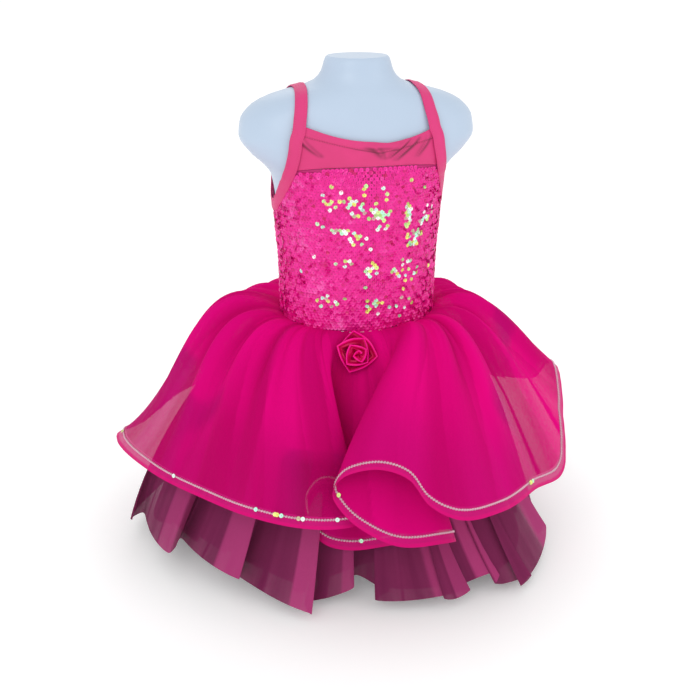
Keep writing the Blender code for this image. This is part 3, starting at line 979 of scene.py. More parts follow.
def closed_rows(rows, per_row, angles=0):
    """Smooth rows closed round a full turn. The first `angles` numbers of a row are angles."""
    count = len(rows)
    width = range(len(rows[0]))

    def cell(n, column):
        turns, i = divmod(n, count)
        return rows[i][column] + (360 * turns if column < angles else 0)

    def between(i, column, share):
        return smooth_between(*(cell(i + k, column) for k in (-1, 0, 1, 2)), share)

    made = [
        [between(i, column, step / per_row) for column in width]
        for i in range(count)
        for step in range(per_row)
    ]
    return made + [[cell(count, column) for column in width]]


def spread_rows(rows, count, distance=math.dist):
    """Rows picked evenly by a running distance between neighbours, without the closing one."""
    run = [0.0]
    for a, b in zip(rows, rows[1:]):
        run.append(run[-1] + distance(a, b))
    made = []
    n = 0
    for i in range(count):
        at = run[-1] * i / count
        while run[n + 1] <= at:
            n += 1
        share = (at - run[n]) / (run[n + 1] - run[n])
        made.append([a + (b - a) * share for a, b in zip(rows[n], rows[n + 1])])
    return made


def strap_lift(point):
    """How far the strap is off the form: over the panels it lies on them."""
    on_panel = PANEL_LIFT + MESH_CLOTH + STRAP_OVER_PANELS
    settled = eased((point.z - SETTLES_ABOVE) / SETTLES_OVER)
    return on_panel + (SHOULDER_LIFT - on_panel) * settled


def strap_rows(side):
    """Rows of points across the strap, and the two lines that its stitches follow."""
    front_run = armhole_run()
    back_run = [Vector((point.x, -point.y, point.z)) for point in front_run]
    smooth = closed_rows(front_run + shoulder_run() + back_run[:0:-1], 12)
    loop = spread_rows(smooth, STRAP_COLUMNS)
    middle = [on_form(Vector((x * side, y, z)), 0) for x, y, z in loop]
    rows = [[] for _ in STRAP_WAYS]
    lines = [[], []]
    for i, point in enumerate(middle):
        along = (middle[(i + 1) % len(middle)] - middle[i - 1]).normalized()
        across = along.cross(form_normal(point).normalized()).normalized()
        for row, way in zip(rows, STRAP_WAYS):
            drop = STRAP_EDGE_ROLL * (abs(way) * 2) ** 4
            spot = point + across * (way * STRAP_WIDTH)
            row.append(on_form(spot, strap_lift(point) + STRAP_EDGE_ROLL - drop))
        for line, way in zip(lines, STRAP_STITCH_WAYS):
            spot = point + across * (way * STRAP_WIDTH)
            line.append(on_form(spot, strap_lift(point) + STRAP_WALL + STRAP_EDGE_ROLL * 0.9))
    return rows, lines


for name, side in (("right", 1), ("left", -1)):
    rows, lines = strap_rows(side)
    label = f"strap_{name}"
    strap = cloth_piece(
        f"{label}_binding", rows, spandex, "spandex", label, closed=True, wall=STRAP_WALL
    )
    stitches = stitched(f"{label}_stitches", lines, closed=True)

# The underskirt
# Sheer plum net cut as a full flare, gathered into the waist seam. It falls close in front, stands
# out at the sides, and folds over on itself in soft pleats that show as paler strips.

UNDER_NET = 0.0010
UNDER_LIFT = 0.0010 + UNDER_NET / 2
UNDERSKIRT_DROP = 0.0012
UNDERSKIRT_SLOPE = 28.0
FRONT_FULLNESS, SIDE_FULLNESS = 0.06, 0.70
# Hem of the underskirt: angle, reach, height
UNDERSKIRT_HEM = (
    (-108, 0.318, 0.022),
    (-96, 0.330, 0.026),
    (-86, 0.304, 0.036),
    (-68, 0.267, 0.040),
    (-57, 0.254, 0.036),
    (-44, 0.238, 0.024),
    (-32, 0.242, 0.008),
    (-23, 0.218, 0.014),
    (-12, 0.180, 0.032),
    (-3, 0.200, 0.022),
    (9, 0.232, 0.016),
    (19, 0.250, 0.014),
    (26, 0.240, 0.024),
    (34, 0.262, 0.018),
    (45, 0.286, 0.018),
    (58, 0.274, 0.016),
    (76, 0.262, 0.024),
    (96, 0.266, 0.018),
    (118, 0.280, 0.024),
    (140, 0.262, 0.016),
    (160, 0.278, 0.022),
    (180, 0.260, 0.014),
    (201, 0.280, 0.024),
    (222, 0.272, 0.016),
    (238, 0.300, 0.022),
)
UNDERSKIRT_COLUMNS = 1000
UNDERSKIRT_ROWS = 22
HEM_FLOOR_GAP = 0.009
FULL_PLEATS, FLAT_FULLNESS = 0.8, 0.4
PLEAT_BEND = 0.93


def polar(angle, reach, height):
    """A point at an angle from the front and a distance from the form's middle line."""
    turn = math.radians(angle)
    return Vector((reach * math.sin(turn), -reach * math.cos(turn), height))


def bezier(a, b, c, d, share):
    """Point of a Bezier curve from a to d, drawn towards b and then c."""
    rest = 1 - share
    return a * rest**3 + b * 3 * rest**2 * share + c * 3 * rest * share**2 + d * share**3


def waist_ring_point(angle, drop, lift):
    """Where a skirt layer starts: a distance below the bodice's lower edge and off the form."""
    return on_form(form_point(angle, waist_height(angle) - drop), lift)


def lower_layer_line(row, drop, slope, reach_share, raised):
    """The four points that shape a lower net layer from the waist to the hem at one angle."""
    angle, reach, height = row
    start = waist_ring_point(angle, drop, UNDER_LIFT)
    end = polar(angle, reach * reach_share, height + raised)
    out = polar(angle, 1, 0)
    forward = max(0.0, math.cos(math.radians(angle)))
    fullness = (SIDE_FULLNESS + (FRONT_FULLNESS - SIDE_FULLNESS) * forward) * reach_share
    inner = math.hypot(start.x, start.y)
    run = reach * reach_share - inner
    fall = start.z - end.z
    step = max(0.022, run * fullness * 0.60) * reach_share**2
    near = start + out * step - Vector((0, 0, step * math.tan(math.radians(slope))))
    far = polar(angle, inner + run * (0.22 + 0.90 * fullness), end.z + fall * 0.38)
    return start, near, far, end


def pleats(count, seed, least, most, depth):
    """Pleats round a skirt: where each is centred, its width, lap in degrees, depth and shade."""
    chance = np.random.default_rng(seed)
    widths = chance.uniform(0.55, 1.6, count)
    widths *= 360 / widths.sum()
    made = []
    at = 0.0
    for width in widths:
        fullness = chance.uniform(least, most) if chance.random() < FULL_PLEATS else FLAT_FULLNESS
        lap = fullness * width / (2 * math.pi)
        shade = chance.uniform(0.0, 1.0)
        made.append((at + width / 2, width, lap, depth * min(fullness, 1.5), shade))
        at += width
    return made


def pleated(angle, folds):
    """At an angle: how far a pleat moves the net sideways and outwards, its ply and its shade."""
    angle = angle % 360
    for centre, width, lap, depth, shade in folds:
        if abs(angle - centre) <= width / 2:
            turn = 2 * math.pi * (angle - centre) / width
            sway = math.asin(PLEAT_BEND * math.sin(turn)) / math.asin(PLEAT_BEND)
            fullness = lap * 2 * math.pi / width
            ply = eased((turn - 1.3 * (1.5 / fullness) ** 2) / 0.12) if fullness > 1 else 0.0
            return lap * sway, depth * (sway + 1) / 2, ply, shade
    return 0.0, 0.0, 0.0, 0.5


def lower_layer_grid(folds, drop, slope, reach_share, raised, hem_waver):
    """Rows of points of a lower net layer, its pleats deepening from the waist to the hem, and
    how strongly each point is doubled."""
    smooth = closed_rows(UNDERSKIRT_HEM, 8, 1)
    rows = spread_rows(smooth, UNDERSKIRT_COLUMNS, lambda a, b: b[0] - a[0])
    lines, plies = [], []
    for angle, reach, height in rows:
        slide, out, ply, shade = pleated(angle, folds)
        waver = hem_waver * math.sin(math.radians(5 * angle)) + out * 0.9
        height = max(height + waver, HEM_FLOOR_GAP)
        line = lower_layer_line((angle, reach, height), drop, slope, reach_share, raised)
        lines.append((line, angle, slide, out))
        plies.append(ply * (0.55 + 0.45 * shade))
    grid = []
    for r in range(UNDERSKIRT_ROWS + 1):
        share = r / UNDERSKIRT_ROWS
        row = []
        for line, angle, slide, out in lines:
            point = bezier(*line, share)
            reach = math.hypot(point.x, point.y) + out * share**0.8
            row.append(polar(angle + slide * share**0.6, reach, point.z))
        grid.append(row)
    return grid, plies * len(grid)


def sheer_net(name, thin, dense, alpha, streaks, scale=42.0):
    """Fine net: see-through, streaked along its fall where it is gathered, with a dry nap."""
    net = Finish(name)
    drawn = net.cloth(1.0, 0.08)
    strong = (net.noise(scale, 4.0, drawn) - 0.5) * 2.2 + 0.5
    grain = net.noise(420.0)
    swirl = net.noise(scale * 0.22, 1.0, drawn)
    off = swirl.sum("ABSOLUTE", swirl - 0.5)
    crease = swirl.sum("MAXIMUM", 1.0 - off * 55.0, 0.0)
    net.set(
        Base_Color=net.mix(strong * (1.0 - crease * 0.6), dense, thin),
        Roughness=0.72 + grain * 0.2,
        Alpha=alpha + (0.5 - strong) * streaks + (grain - 0.5) * 0.12 + crease * 0.10,
        Specular_IOR_Level=0.04,
    )
    return net


def fed(net, name):
    """What feeds one of a net's inputs so far."""
    return Wire(net, net.shader.inputs[name].links[0].from_socket)


def add_to_alpha(net, name, amount):
    """Makes a net denser where a named value is high."""
    net.set(Alpha=fed(net, "Alpha") + net.value(name) * amount)


def shade_by(net, name, colour, strength=1.0):
    """Takes a net's colour towards another where a named value is high."""
    before = fed(net, "Base Color")
    net.set(Base_Color=net.mix(net.value(name) * strength, before, colour))


plum = sheer_net("plum net", (0.240, 0.027, 0.104), (0.155, 0.017, 0.068), 0.94, 0.08)
add_to_alpha(plum, "ply", 0.04)
shade_by(plum, "ply", (0.440, 0.050, 0.188))
folds = pleats(count=20, seed=1020, least=2.0, most=3.4, depth=0.0052)
grid, plies = lower_layer_grid(folds, UNDERSKIRT_DROP, UNDERSKIRT_SLOPE, 1.0, 0.0, 0.003)
underskirt = cloth_piece(
    "underskirt_net", grid, plum, "underskirt_net", "underskirt", closed=True, ply=plies
)

# The petticoat
# A shorter, darker layer of the same net inside the underskirt, gathered into the same seam. It
# gives the skirt its body, and deepens the outer net where that lies single.

PETTICOAT_DROP = 0.0042
PETTICOAT_SLOPE = 48.0
PETTICOAT_SHARE = 0.91
PETTICOAT_RAISE = 0.009

wine = sheer_net("wine net", (0.085, 0.012, 0.042), (0.050, 0.008, 0.027), 0.90, 0.05)
folds = pleats(count=15, seed=9, least=1.2, most=2.4, depth=-0.0050)
grid, _ = lower_layer_grid(
    folds, PETTICOAT_DROP, PETTICOAT_SLOPE, PETTICOAT_SHARE, PETTICOAT_RAISE, 0.002
)
petticoat = cloth_piece("petticoat_net", grid, wine, "underskirt_net", "petticoat", closed=True)

# The overskirt
# Soft sheer net in hot pink, several widths gathered into the waist seam. Its hem is longer than
# its waist by far, so it curls over in big rolling waves in front and laps in scallops behind.

# Folds of the overskirt: its part, angle at the waist, angle at the hem, reach, height, bulge
OVERSKIRT_FOLDS = (
    ("left side", -108, -113, 0.335, 0.130, 0.118),
    ("left tip", -96, -101, 0.348, 0.145, 0.132),
    ("left panel", -80, -82, 0.302, 0.145, 0.108),
    ("left panel", -64, -62, 0.268, 0.145, 0.080),
    ("left panel", -50, -43, 0.259, 0.145, 0.065),
    ("left panel", -43, -28, 0.254, 0.143, 0.060),
    ("left panel", -37, -17.5, 0.241, 0.139, 0.062),
    ("first turn", -33.5, -11.5, 0.226, 0.138, 0.049),
    ("first turn", -29.5, -12, 0.210, 0.153, 0.035),
    ("first trough", -25.5, -19, 0.199, 0.175, 0.024),
    ("first trough", -22, -26, 0.194, 0.171, 0.022),
    ("first trough", -18.5, -32, 0.190, 0.141, 0.021),
    ("lower wave", -15, -31.5, 0.188, 0.106, 0.018),
    ("lower wave", -11.5, -24.5, 0.192, 0.083, 0.016),
    ("lower wave", -8, -14, 0.196, 0.079, 0.017),
    ("lower wave", -5, 0, 0.203, 0.088, 0.020),
    ("second turn", -2, 12, 0.216, 0.096, 0.024),
    ("second turn", 1.5, 19, 0.246, 0.104, 0.030),
    ("rolled wave", 5, 12, 0.262, 0.118, 0.038),
    ("rolled wave", 8.5, 0, 0.258, 0.122, 0.046),
    ("rolled wave", 11.5, -10, 0.248, 0.142, 0.053),
    ("rolled wave", 14.5, -16, 0.240, 0.162, 0.060),
    ("third turn", 17.5, -19, 0.238, 0.187, 0.066),
    ("high trough", 20.5, -15, 0.241, 0.214, 0.072),
    ("high trough", 24, -6, 0.247, 0.226, 0.078),
    ("high trough", 28, 2, 0.259, 0.216, 0.078),
    ("right panel", 32, 7, 0.276, 0.184, 0.074),
    ("right panel", 37, 14, 0.295, 0.168, 0.070),
    ("right panel", 44, 26, 0.294, 0.160, 0.070),
    ("right panel", 53, 44, 0.282, 0.148, 0.070),
    ("right corner", 62, 58, 0.300, 0.146, 0.070),
    ("lifted side", 70, 68, 0.291, 0.205, 0.062),
    ("lifted side", 79, 78, 0.287, 0.247, 0.056),
    ("lifted side", 90, 91, 0.290, 0.232, 0.050),
    ("right side", 101, 103, 0.303, 0.180, 0.066),
)
BACK_WAVES = 5
BACK_FROM, BACK_TO = 112.0, 243.0
BACK_CREST, BACK_TROUGH = 0.322, 0.286
BACK_CREST_HEIGHT, BACK_TROUGH_HEIGHT = 0.140, 0.168
BACK_LAP = 3.0
BACK_BULGE = 0.072
OVERSKIRT_COLUMNS = 1100
OVERSKIRT_ROWS = 30
HEM_SPACING, WAIST_SPACING = 0.018, 4.0
GATHERS = 28
GATHER_DEPTH = 0.0050
FOLD_GATHER_SHARE = 0.12
PUCKER_DEPTH = 0.0022
NET = 0.0010
OVERSKIRT_START_RISE = 0.0016
OVERSKIRT_LIFT = 0.0037 + NET * 0.7
NEAR_SHARE, FAR_SHARE = 0.12, 0.62
BRAID_START = 0.950

# Soft folds that fall from the waist: angle at the waist, half width in degrees, depth,
# and the shares of the fall between which it shows
FALLS = (
    (-92, 3.2, 0.0060, 0.00, 0.85),
    (-84, 2.2, -0.0040, 0.05, 0.60),
    (-76, 3.0, 0.0070, 0.00, 0.95),
    (-69, 1.8, -0.0035, 0.00, 0.55),
    (-62, 3.4, 0.0060, 0.05, 0.90),
    (-54, 1.6, -0.0050, 0.00, 0.50),
    (-48, 2.2, 0.0050, 0.00, 0.70),
    (-41, 1.5, -0.0035, 0.00, 0.60),
    (-33, 2.4, 0.0030, 0.00, 0.45),
    (36, 2.4, 0.0045, 0.00, 0.60),
    (42, 1.5, -0.0045, 0.00, 0.55),
    (48, 2.4, 0.0060, 0.00, 0.90),
    (55, 1.8, -0.0045, 0.05, 0.60),
    (62, 3.0, 0.0065, 0.00, 0.95),
    (70, 1.8, -0.0035, 0.00, 0.50),
    (78, 3.2, 0.0060, 0.00, 0.85),
    (93, 3.0, 0.0060, 0.00, 0.90),
    (118, 3.4, 0.0070, 0.00, 0.90),
    (141, 2.4, -0.0045, 0.00, 0.60),
    (163, 3.2, 0.0065, 0.05, 0.90),
    (189, 2.6, -0.0045, 0.00, 0.55),
    (206, 3.4, 0.0070, 0.00, 0.90),
    (231, 2.6, 0.0055, 0.00, 0.70),
)


def back_rows():
    """The overskirt's waves across the back, each a wide crest between narrow troughs."""
    pitch = (BACK_TO - BACK_FROM) / BACK_WAVES
    flank = (BACK_CREST + BACK_TROUGH) / 2
    flank_height = (BACK_CREST_HEIGHT + BACK_TROUGH_HEIGHT) / 2
    rows = []
    for i in range(BACK_WAVES):
        start = BACK_FROM + i * pitch
        quarter, half, late = (start + pitch * share for share in (0.25, 0.5, 0.75))
        rows += [
            (start, start, BACK_TROUGH, BACK_TROUGH_HEIGHT, BACK_BULGE),
            (quarter, quarter - BACK_LAP, flank, flank_height, BACK_BULGE),
            (half, half, BACK_CREST, BACK_CREST_HEIGHT, BACK_BULGE),
            (late, late + BACK_LAP, flank, flank_height, BACK_BULGE),
        ]
    return rows


def overskirt_columns():
    """Rows like those of the folds, smooth and evenly spread round the skirt."""
    folded = [row[1:] for row in OVERSKIRT_FOLDS]

    def distance(a, b):
        hem = polar(*b[1:4]) - polar(*a[1:4])
        return hem.length / HEM_SPACING + (b[0] - a[0]) / WAIST_SPACING

    return spread_rows(closed_rows(folded + back_rows(), 12, 2), OVERSKIRT_COLUMNS, distance)


def from_front(angle):
    """The same angle between -180 and 180."""
    return (angle + 180) % 360 - 180


def gather_share(waist_angle):
    """The gathers are shallower where the big folds crowd together in front."""
    crowded = eased((abs(from_front(waist_angle) + 5) - 30) / 16)
    return FOLD_GATHER_SHARE + (1 - FOLD_GATHER_SHARE) * crowded


def fall_depth(waist_angle, share):
    """How far the soft folds lift the net."""
    depth = 0.0
    for angle, half_width, rise, first, last in FALLS:
        off = from_front(waist_angle - angle) / half_width
        if abs(off) < 3 and first < share < last:
            along = math.sin(math.pi * (share - first) / (last - first))
            depth += rise * hump(off) * along**0.8
    return depth


def pucker(waist_angle):
    """Where the net bunches at the seam: about 1 on a ridge and -1 in the sharp valleys."""
    turn = math.radians(waist_angle)
    bunch = 0.0
    for count, start, part in ((23, 0.3, 0.45), (37, 1.9, 0.35), (58, 0.8, 0.20)):
        bunch += part * (abs(math.sin(count * turn + start)) ** 0.7 * 2 - 1)
    return bunch


def fine_gathers(waist_angle, share):
    """Small puckers at the waist seam that run out down the skirt."""
    strength = eased(share / 0.10) * (1 - 0.55 * eased((share - 0.2) / 0.6))
    return PUCKER_DEPTH * strength * pucker(waist_angle)


def hollow_shade(column, share):
    """Shade painted on the net: in the valleys of its gathers and folds, and below the rose."""
    waist_angle = from_front(column[0])
    valley = max(-pucker(waist_angle) - 0.1, 0.0) * (1 - eased((share - 0.08) / 0.55))
    below_rose = hump(waist_angle, -15, 6.5) * eased((0.85 - share) / 0.5)
    fall = max(-fall_depth(waist_angle, share) / 0.005, 0.0) * 0.5
    return min(valley * 1.1 + below_rose * 0.75 + fall, 1.0)


def band_shade(column, share):
    """Broad soft bands down the skirt where more or fewer widths of net lie behind, darker low on
    the left, and painted shade over the left side.
    """
    turn = math.radians(column[1] * 0.45 + column[0] * 0.55)
    wide = math.sin(13 * turn + 2.0 * share + 0.5) + 0.8 * math.sin(21 * turn - 3.0 * share + 2)
    pieces = turn / (2 * math.pi)
    narrow = 1.5 * ((17 * pieces + 0.35 * share) % 1 - 0.5)
    narrow += 1.0 * ((31 * pieces - 0.55 * share + 0.3) % 1 - 0.5)
    off = from_front(column[1])
    low_left = hump(off, -52, 32) * eased((share - 0.50) / 0.35)
    # Painted shade over the left side, where the key lamp falls brightest.
    left = 0.30 * hump(off, -48, 34) * eased((share - 0.15) / 0.35)
    return min(eased((wide + narrow) / 3.2 + 0.40) + left + 0.60 * low_left, 1.3)


def overskirt_line(column):
    """Four points that shape the overskirt at one column, and the way that its folds lift it."""
    waist_angle, hem_angle, reach, height, bulge = column
    start = waist_ring_point(waist_angle, -OVERSKIRT_START_RISE, OVERSKIRT_LIFT)
    end = polar(hem_angle, reach, height)
    chord = end - start
    run, rise = math.hypot(chord.x, chord.y), chord.z
    towards = Vector((chord.x / run, chord.y / run, 0))
    radial = polar(waist_angle, 1, 0)
    out, up = -rise / chord.length, run / chord.length
    near = start + radial * (NEAR_SHARE * run + out * bulge)
    near.z += NEAR_SHARE * rise + up * bulge
    slack = bulge * (0.4 - 6.8 * (bulge - 0.055))
    far = start + towards * (FAR_SHARE * run + out * slack)
    far.z += FAR_SHARE * rise + up * slack
    return (start, near, far, end), radial * out + Vector((0, 0, up))


def overskirt_point(column, line, lift, share):
    """A point of the overskirt: share 0 at the waist seam, 1 at the hem."""
    waist_angle = column[0]
    fullness = gather_share(waist_angle)
    depth = GATHER_DEPTH * math.sin(math.pi * share**0.6) ** 1.5
    depth *= math.cos(math.radians(GATHERS * waist_angle))
    depth += fall_depth(waist_angle, share) + fine_gathers(waist_angle, share)
    return bezier(*line, share) + lift * (depth * fullness)


def layers(column, share):
    """How dense the net is at a place: 1 where several widths lie on each other, 0 where one
    does, and below 0 where it lies clear of the rest and the turned hem shows through."""
    off = from_front(column[1])
    waver = 5 * math.sin(share * 7 + 1) + 3 * math.sin(share * 17)
    middle = max(eased((60 - abs(off + 14) + waver) / 7), eased((abs(off) - 140 + waver) / 7))
    middle *= 1 - 0.65 * eased((share - 0.55) / 0.35)
    edge = 0.50 + 0.08 * math.sin(math.radians(4 * off + 40))
    edge += 0.05 * math.sin(math.radians(13 * off))
    side_share = 1 - eased((share - edge) / (0.04 + 0.16 * eased((80 - abs(off)) / 25)))
    low_edge = 0.60 + 0.14 * (off - 76) / 22
    right_low = hump(off, 76, 26, 4) * eased((share - low_edge) / 0.04)
    waist_angle = from_front(column[0])
    clear = hump(waist_angle, -39.5, 5, 4) * eased((share - 0.70) / 0.07)
    rolled = hump(waist_angle, 8, 13, 4) * eased((share - 0.45) / 0.2)
    return max(middle, side_share * 0.8, right_low, rolled) - 5.0 * clear


hot_pink = sheer_net(
    "hot pink net", (0.58, 0.0030, 0.188), (0.43, 0.0015, 0.125), 0.92, 0.08, scale=24.0
)
add_to_alpha(hot_pink, "layers", 0.06)
shade_by(hot_pink, "layers", (0.73, 0.0008, 0.192))
# Painted shade where the hollow value is high: gather valleys, fold troughs and below the rose.
shade_by(hot_pink, "hollow", (0.40, 0.0001, 0.070))
# The bands value also carries painted shade over the skirt's left side.
shade_by(hot_pink, "bands", (0.46, 0.0002, 0.105), 0.66)

columns = overskirt_columns()
lines = [overskirt_line(column) for column in columns]
shares = [BRAID_START * i / OVERSKIRT_ROWS for i in range(OVERSKIRT_ROWS + 1)]


def overskirt_row(share):
    """The overskirt's points at a share of its fall from the waist to the hem."""
    return [overskirt_point(column, *line, share) for column, line in zip(columns, lines)]


def over_net(shade):
    """A shade's value at each point of the overskirt's net."""
    return [shade(column, share) for share in shares for column in columns]


overskirt = cloth_piece(
    "overskirt_net",
    [overskirt_row(share) for share in shares],
    hot_pink,
    "overskirt_net",
    "overskirt",
    closed=True,
    layers=over_net(layers),
    hollow=over_net(hollow_shade),
    bands=over_net(band_shade),
)

# The hem braid
# Stiff open braid, folded over the overskirt's raw hem and sewn down, which makes the hem stand in
# waves. A thin twisted cord of silver and pink runs along its upper edge, with a few sequins.

BRAID_ROWS = 12
BRAID_EDGE = 0.984
BRAID_MESH = 0.0016
TRIM_RADIUS = 0.00185
TRIM_TWIST = 0.0074
TRIM_AT = 0.962
TRIM_SEQUIN_LIFT = 0.0021

braid_finish = Finish("stiff open braid")
across, down = braid_finish.waves(BRAID_MESH, BRAID_MESH)
edge = braid_finish.value("edge")
braid_finish.set(
    Base_Color=braid_finish.mix(edge, (0.58, 0.003, 0.170), (0.64, 0.0003, 0.165)),
    Roughness=0.5,
    Specular_IOR_Level=0.1,
    Alpha=0.90 + edge * 0.10 + across * down * 0.08,
)
shares = [BRAID_START + (1 - BRAID_START) * i / BRAID_ROWS for i in range(BRAID_ROWS + 1)]
grid = [overskirt_row(share) for share in shares]
edges = [eased((share - BRAID_EDGE) / 0.005) for share in shares for _ in columns]
braid = cloth_piece("braid_band", grid, braid_finish, "braid", "hem_braid", closed=True, edge=edges)


def twist_grower():
    """Sweeps a flattened ring along a line and turns it as it goes, like two twisted strands."""
    board = Grower("twisted_cord", Radius="Float", Twist="Float")
    radius, twist = board.input("Radius"), board.input("Twist")
    even = board.source_line(twist / 8.0)
    along = board.add("GeometryNodeSplineParameter", output=1)
    tilt = along / twist * (2 * math.pi)
    turned = board.geometry("SetCurveTilt", Curve=even, Tilt=tilt)
    ring = board.geometry("CurvePrimitiveCircle", Resolution=8, Radius=1.0)
    flat = board.geometry(
        "Transform", Geometry=ring, Scale=board.vector(radius, radius * 0.42, 1.0)
    )
    sweep = board.add("GeometryNodeCurveToMesh", None, {0: turned, 1: flat})
    board.close(sweep)
    return board


silver = thread_finish("silver and pink cord", (0.84, 0.50, 0.62), 0.34, 0.15)
trim_line = overskirt_row(TRIM_AT)
cord_mesh = twist_grower().grow(
    line_mesh("hem_cord", [trim_line], closed=True),
    Radius=TRIM_RADIUS,
    Twist=TRIM_TWIST,
    Finish=silver.material,
)
hem_cord = new_piece("hem_cord", cord_mesh, silver)

# Sequins caught along the cord: angle at the waist, and how many
CORD_SEQUINS = (
    (-96, 1),
    (-72, 1),
    (-49, 1),
    (-46, 3),
    (-43, 2),
    (-37, 1),
    (-14, 1),
    (-7, 1),
    (0, 4),
    (16, 1),
    (52, 3),
    (97, 2),
    (128, 1),
    (151, 3),
    (176, 1),
    (199, 2),
    (232, 3),
)


def cord_sequin_places():
    """Sequins laid on the cord: its place, the way it faces, its tone and painted glint."""
    chance = np.random.default_rng(23)
    places = []
    count = len(columns)
    for angle, many in CORD_SEQUINS:
        first = min(range(count), key=lambda n: abs(columns[n][0] - angle))
        for k in range(many):
            i = int(first + k * 1.6 + 0.8 * chance.random()) % count
            along = (trim_line[(i + 1) % count] - trim_line[i - 1]).normalized()
            inward = overskirt_point(columns[i], *lines[i], TRIM_AT - 0.03) - trim_line[i]
            facing = along.cross(inward).normalized()
            if facing.dot(polar(columns[i][0], 1, 0.4)) < 0:
                facing = -facing
            # Each cord sequin gets a painted glint of light.
            tone, flash = chance.uniform(0.5, 1.0), chance.uniform(0.2, 0.9)
            places.append((trim_line[i] + facing * TRIM_SEQUIN_LIFT, facing, tone, flash))
    return places


cord_sequins = sown_sequins("cord_sequins", cord_sequin_places(), 0.0)

# The waist seam
# The bodice and all the net layers are sewn together here. Short ends of silver thread from the
# sequin cloth show along it.

WAIST_THREAD = 0.0007
WAIST_STITCH, WAIST_PITCH = 0.0018, 0.0009
WAIST_THREAD_LIFT = PANEL_LIFT + MESH_CLOTH + 0.0032
WAIST_THREADS_TO = 95.0


def waist_thread_lines(chance):
    """Short runs along the waist seam, with gaps between them."""
    made = []
    angle = -WAIST_THREADS_TO
    while angle < WAIST_THREADS_TO:
        length = chance.uniform(0.8, 1.9)
        drop = -chance.uniform(-0.0004, 0.0014)
        turns = [angle + length * k / 3 for k in range(4)]
        made.append([waist_ring_point(turn, drop, WAIST_THREAD_LIFT) for turn in turns])
        angle += length + chance.uniform(1.2, 5.5)
    return made


stitched(
    "waist_threads",
    waist_thread_lines(np.random.default_rng(31)),
    finish=thread_finish("silver thread", (0.92, 0.66, 0.80), 0.35),
    length=WAIST_STITCH,
    width=WAIST_THREAD,
    pitch=WAIST_PITCH,
)

# The ribbon rose
# Satin ribbon, folded and wound from a tight bud outwards, each turn tacked to the one inside it.
# It is sewn to the front of the skirt just below the waist seam.

ROSE_FACING = Vector((-0.10, -0.90, 0.42))
ROSE_OUTER = 0.0325
ROSE_BUD = 0.0030
ROSE_TURNS = 3.35
ROSE_CORNERS = 3.7
ROSE_SHARPNESS = 0.66
ROSE_STEPS = 420
ROSE_START = 0.6
ROSE_BEHIND = 0.0070
ROSE_LOWERED = 0.0060
BUD_ACROSS, BUD_DOWN = 0.0075, 0.0030
BUD_HEIGHT, ROSE_DISH = 0.0180, 0.0135
ENDING_FROM, ENDING_DROP, ENDING_TUCK = 0.90, 0.0070, 0.0045
RIBBON = 0.0005
# The ribbon from its tacked edge to its folded lip and down behind it: reach inwards as a share of
# the space between turns, reach outwards, rise, and how much painted highlight the fold gets
RIBBON_PROFILE = (
    (1.05, 0.0, -0.0064, 0.0),
    (0.88, 0.0, -0.0056, 0.0),
    (0.70, 0.0, -0.0042, 0.10),
    (0.54, 0.0, -0.0034, 0.25),
    (0.40, 0.0, -0.0030, 0.10),
    (0.27, 0.0, -0.0020, 0.10),
    (0.15, 0.0, -0.0009, 0.35),
    (0.07, 0.0, 0.0000, 0.85),
    (0.0, 0.0001, 0.0004, 1.0),
    (0.0, 0.0007, 0.0001, 0.8),
    (0.0, 0.0010, -0.0007, 0.25),
    (0.0, 0.0009, -0.0020, 0.0),
    (0.0, 0.0004, -0.0040, 0.0),
)

rose_low, rose_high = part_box("rosette")


def rose_point(share, stage):
    """A point of the wound ribbon: share along it, stage of its profile."""
    facing = ROSE_FACING.normalized()
    right = Vector((0, 0, 1)).cross(facing).normalized()
    up = facing.cross(right)
    inward, outward, rise, _ = stage
    turn = 2 * math.pi * ROSE_TURNS * share + ROSE_START
    corner = (turn * ROSE_CORNERS / (2 * math.pi)) % 1.0 - 0.5
    widest = math.cos(math.pi / ROSE_CORNERS)
    facet = widest / math.cos(2 * math.pi / ROSE_CORNERS * corner)
    radius = ROSE_BUD + (ROSE_OUTER - ROSE_BUD) * share**0.92
    pitch = (ROSE_OUTER - ROSE_BUD) / ROSE_TURNS
    radius *= 1 + (facet - 1) * ROSE_SHARPNESS
    radius *= 1 + 0.07 * math.sin(turn * 1.37 + 0.6) * min(share * 3, 1.0)
    tuck = min(inward * pitch, radius * 0.8)
    crease = 0.0008 * math.sin(inward * 11 + turn * 1.7) * eased(inward * 4)
    height = BUD_HEIGHT - ROSE_DISH * share**0.9 + 0.0012 * math.cos(2 * math.pi * corner)
    height += 0.0012 * math.sin(turn * 1.3 + 1)
    ending = eased((share - ENDING_FROM) / (1 - ENDING_FROM))
    height -= ENDING_DROP * ending
    radius -= ENDING_TUCK * ending
    middle = (rose_low + rose_high) / 2 - facing * ROSE_BEHIND - up * ROSE_LOWERED
    middle += (right * BUD_ACROSS - up * BUD_DOWN) * (1 - share)
    way = right * math.cos(turn) + up * math.sin(turn)
    return middle + way * (radius - tuck + outward) + facing * (height + rise + crease)


def rose_grid():
    shares = [i / ROSE_STEPS for i in range(ROSE_STEPS + 1)]
    return [[rose_point(share, stage) for share in shares] for stage in RIBBON_PROFILE[::-1]]


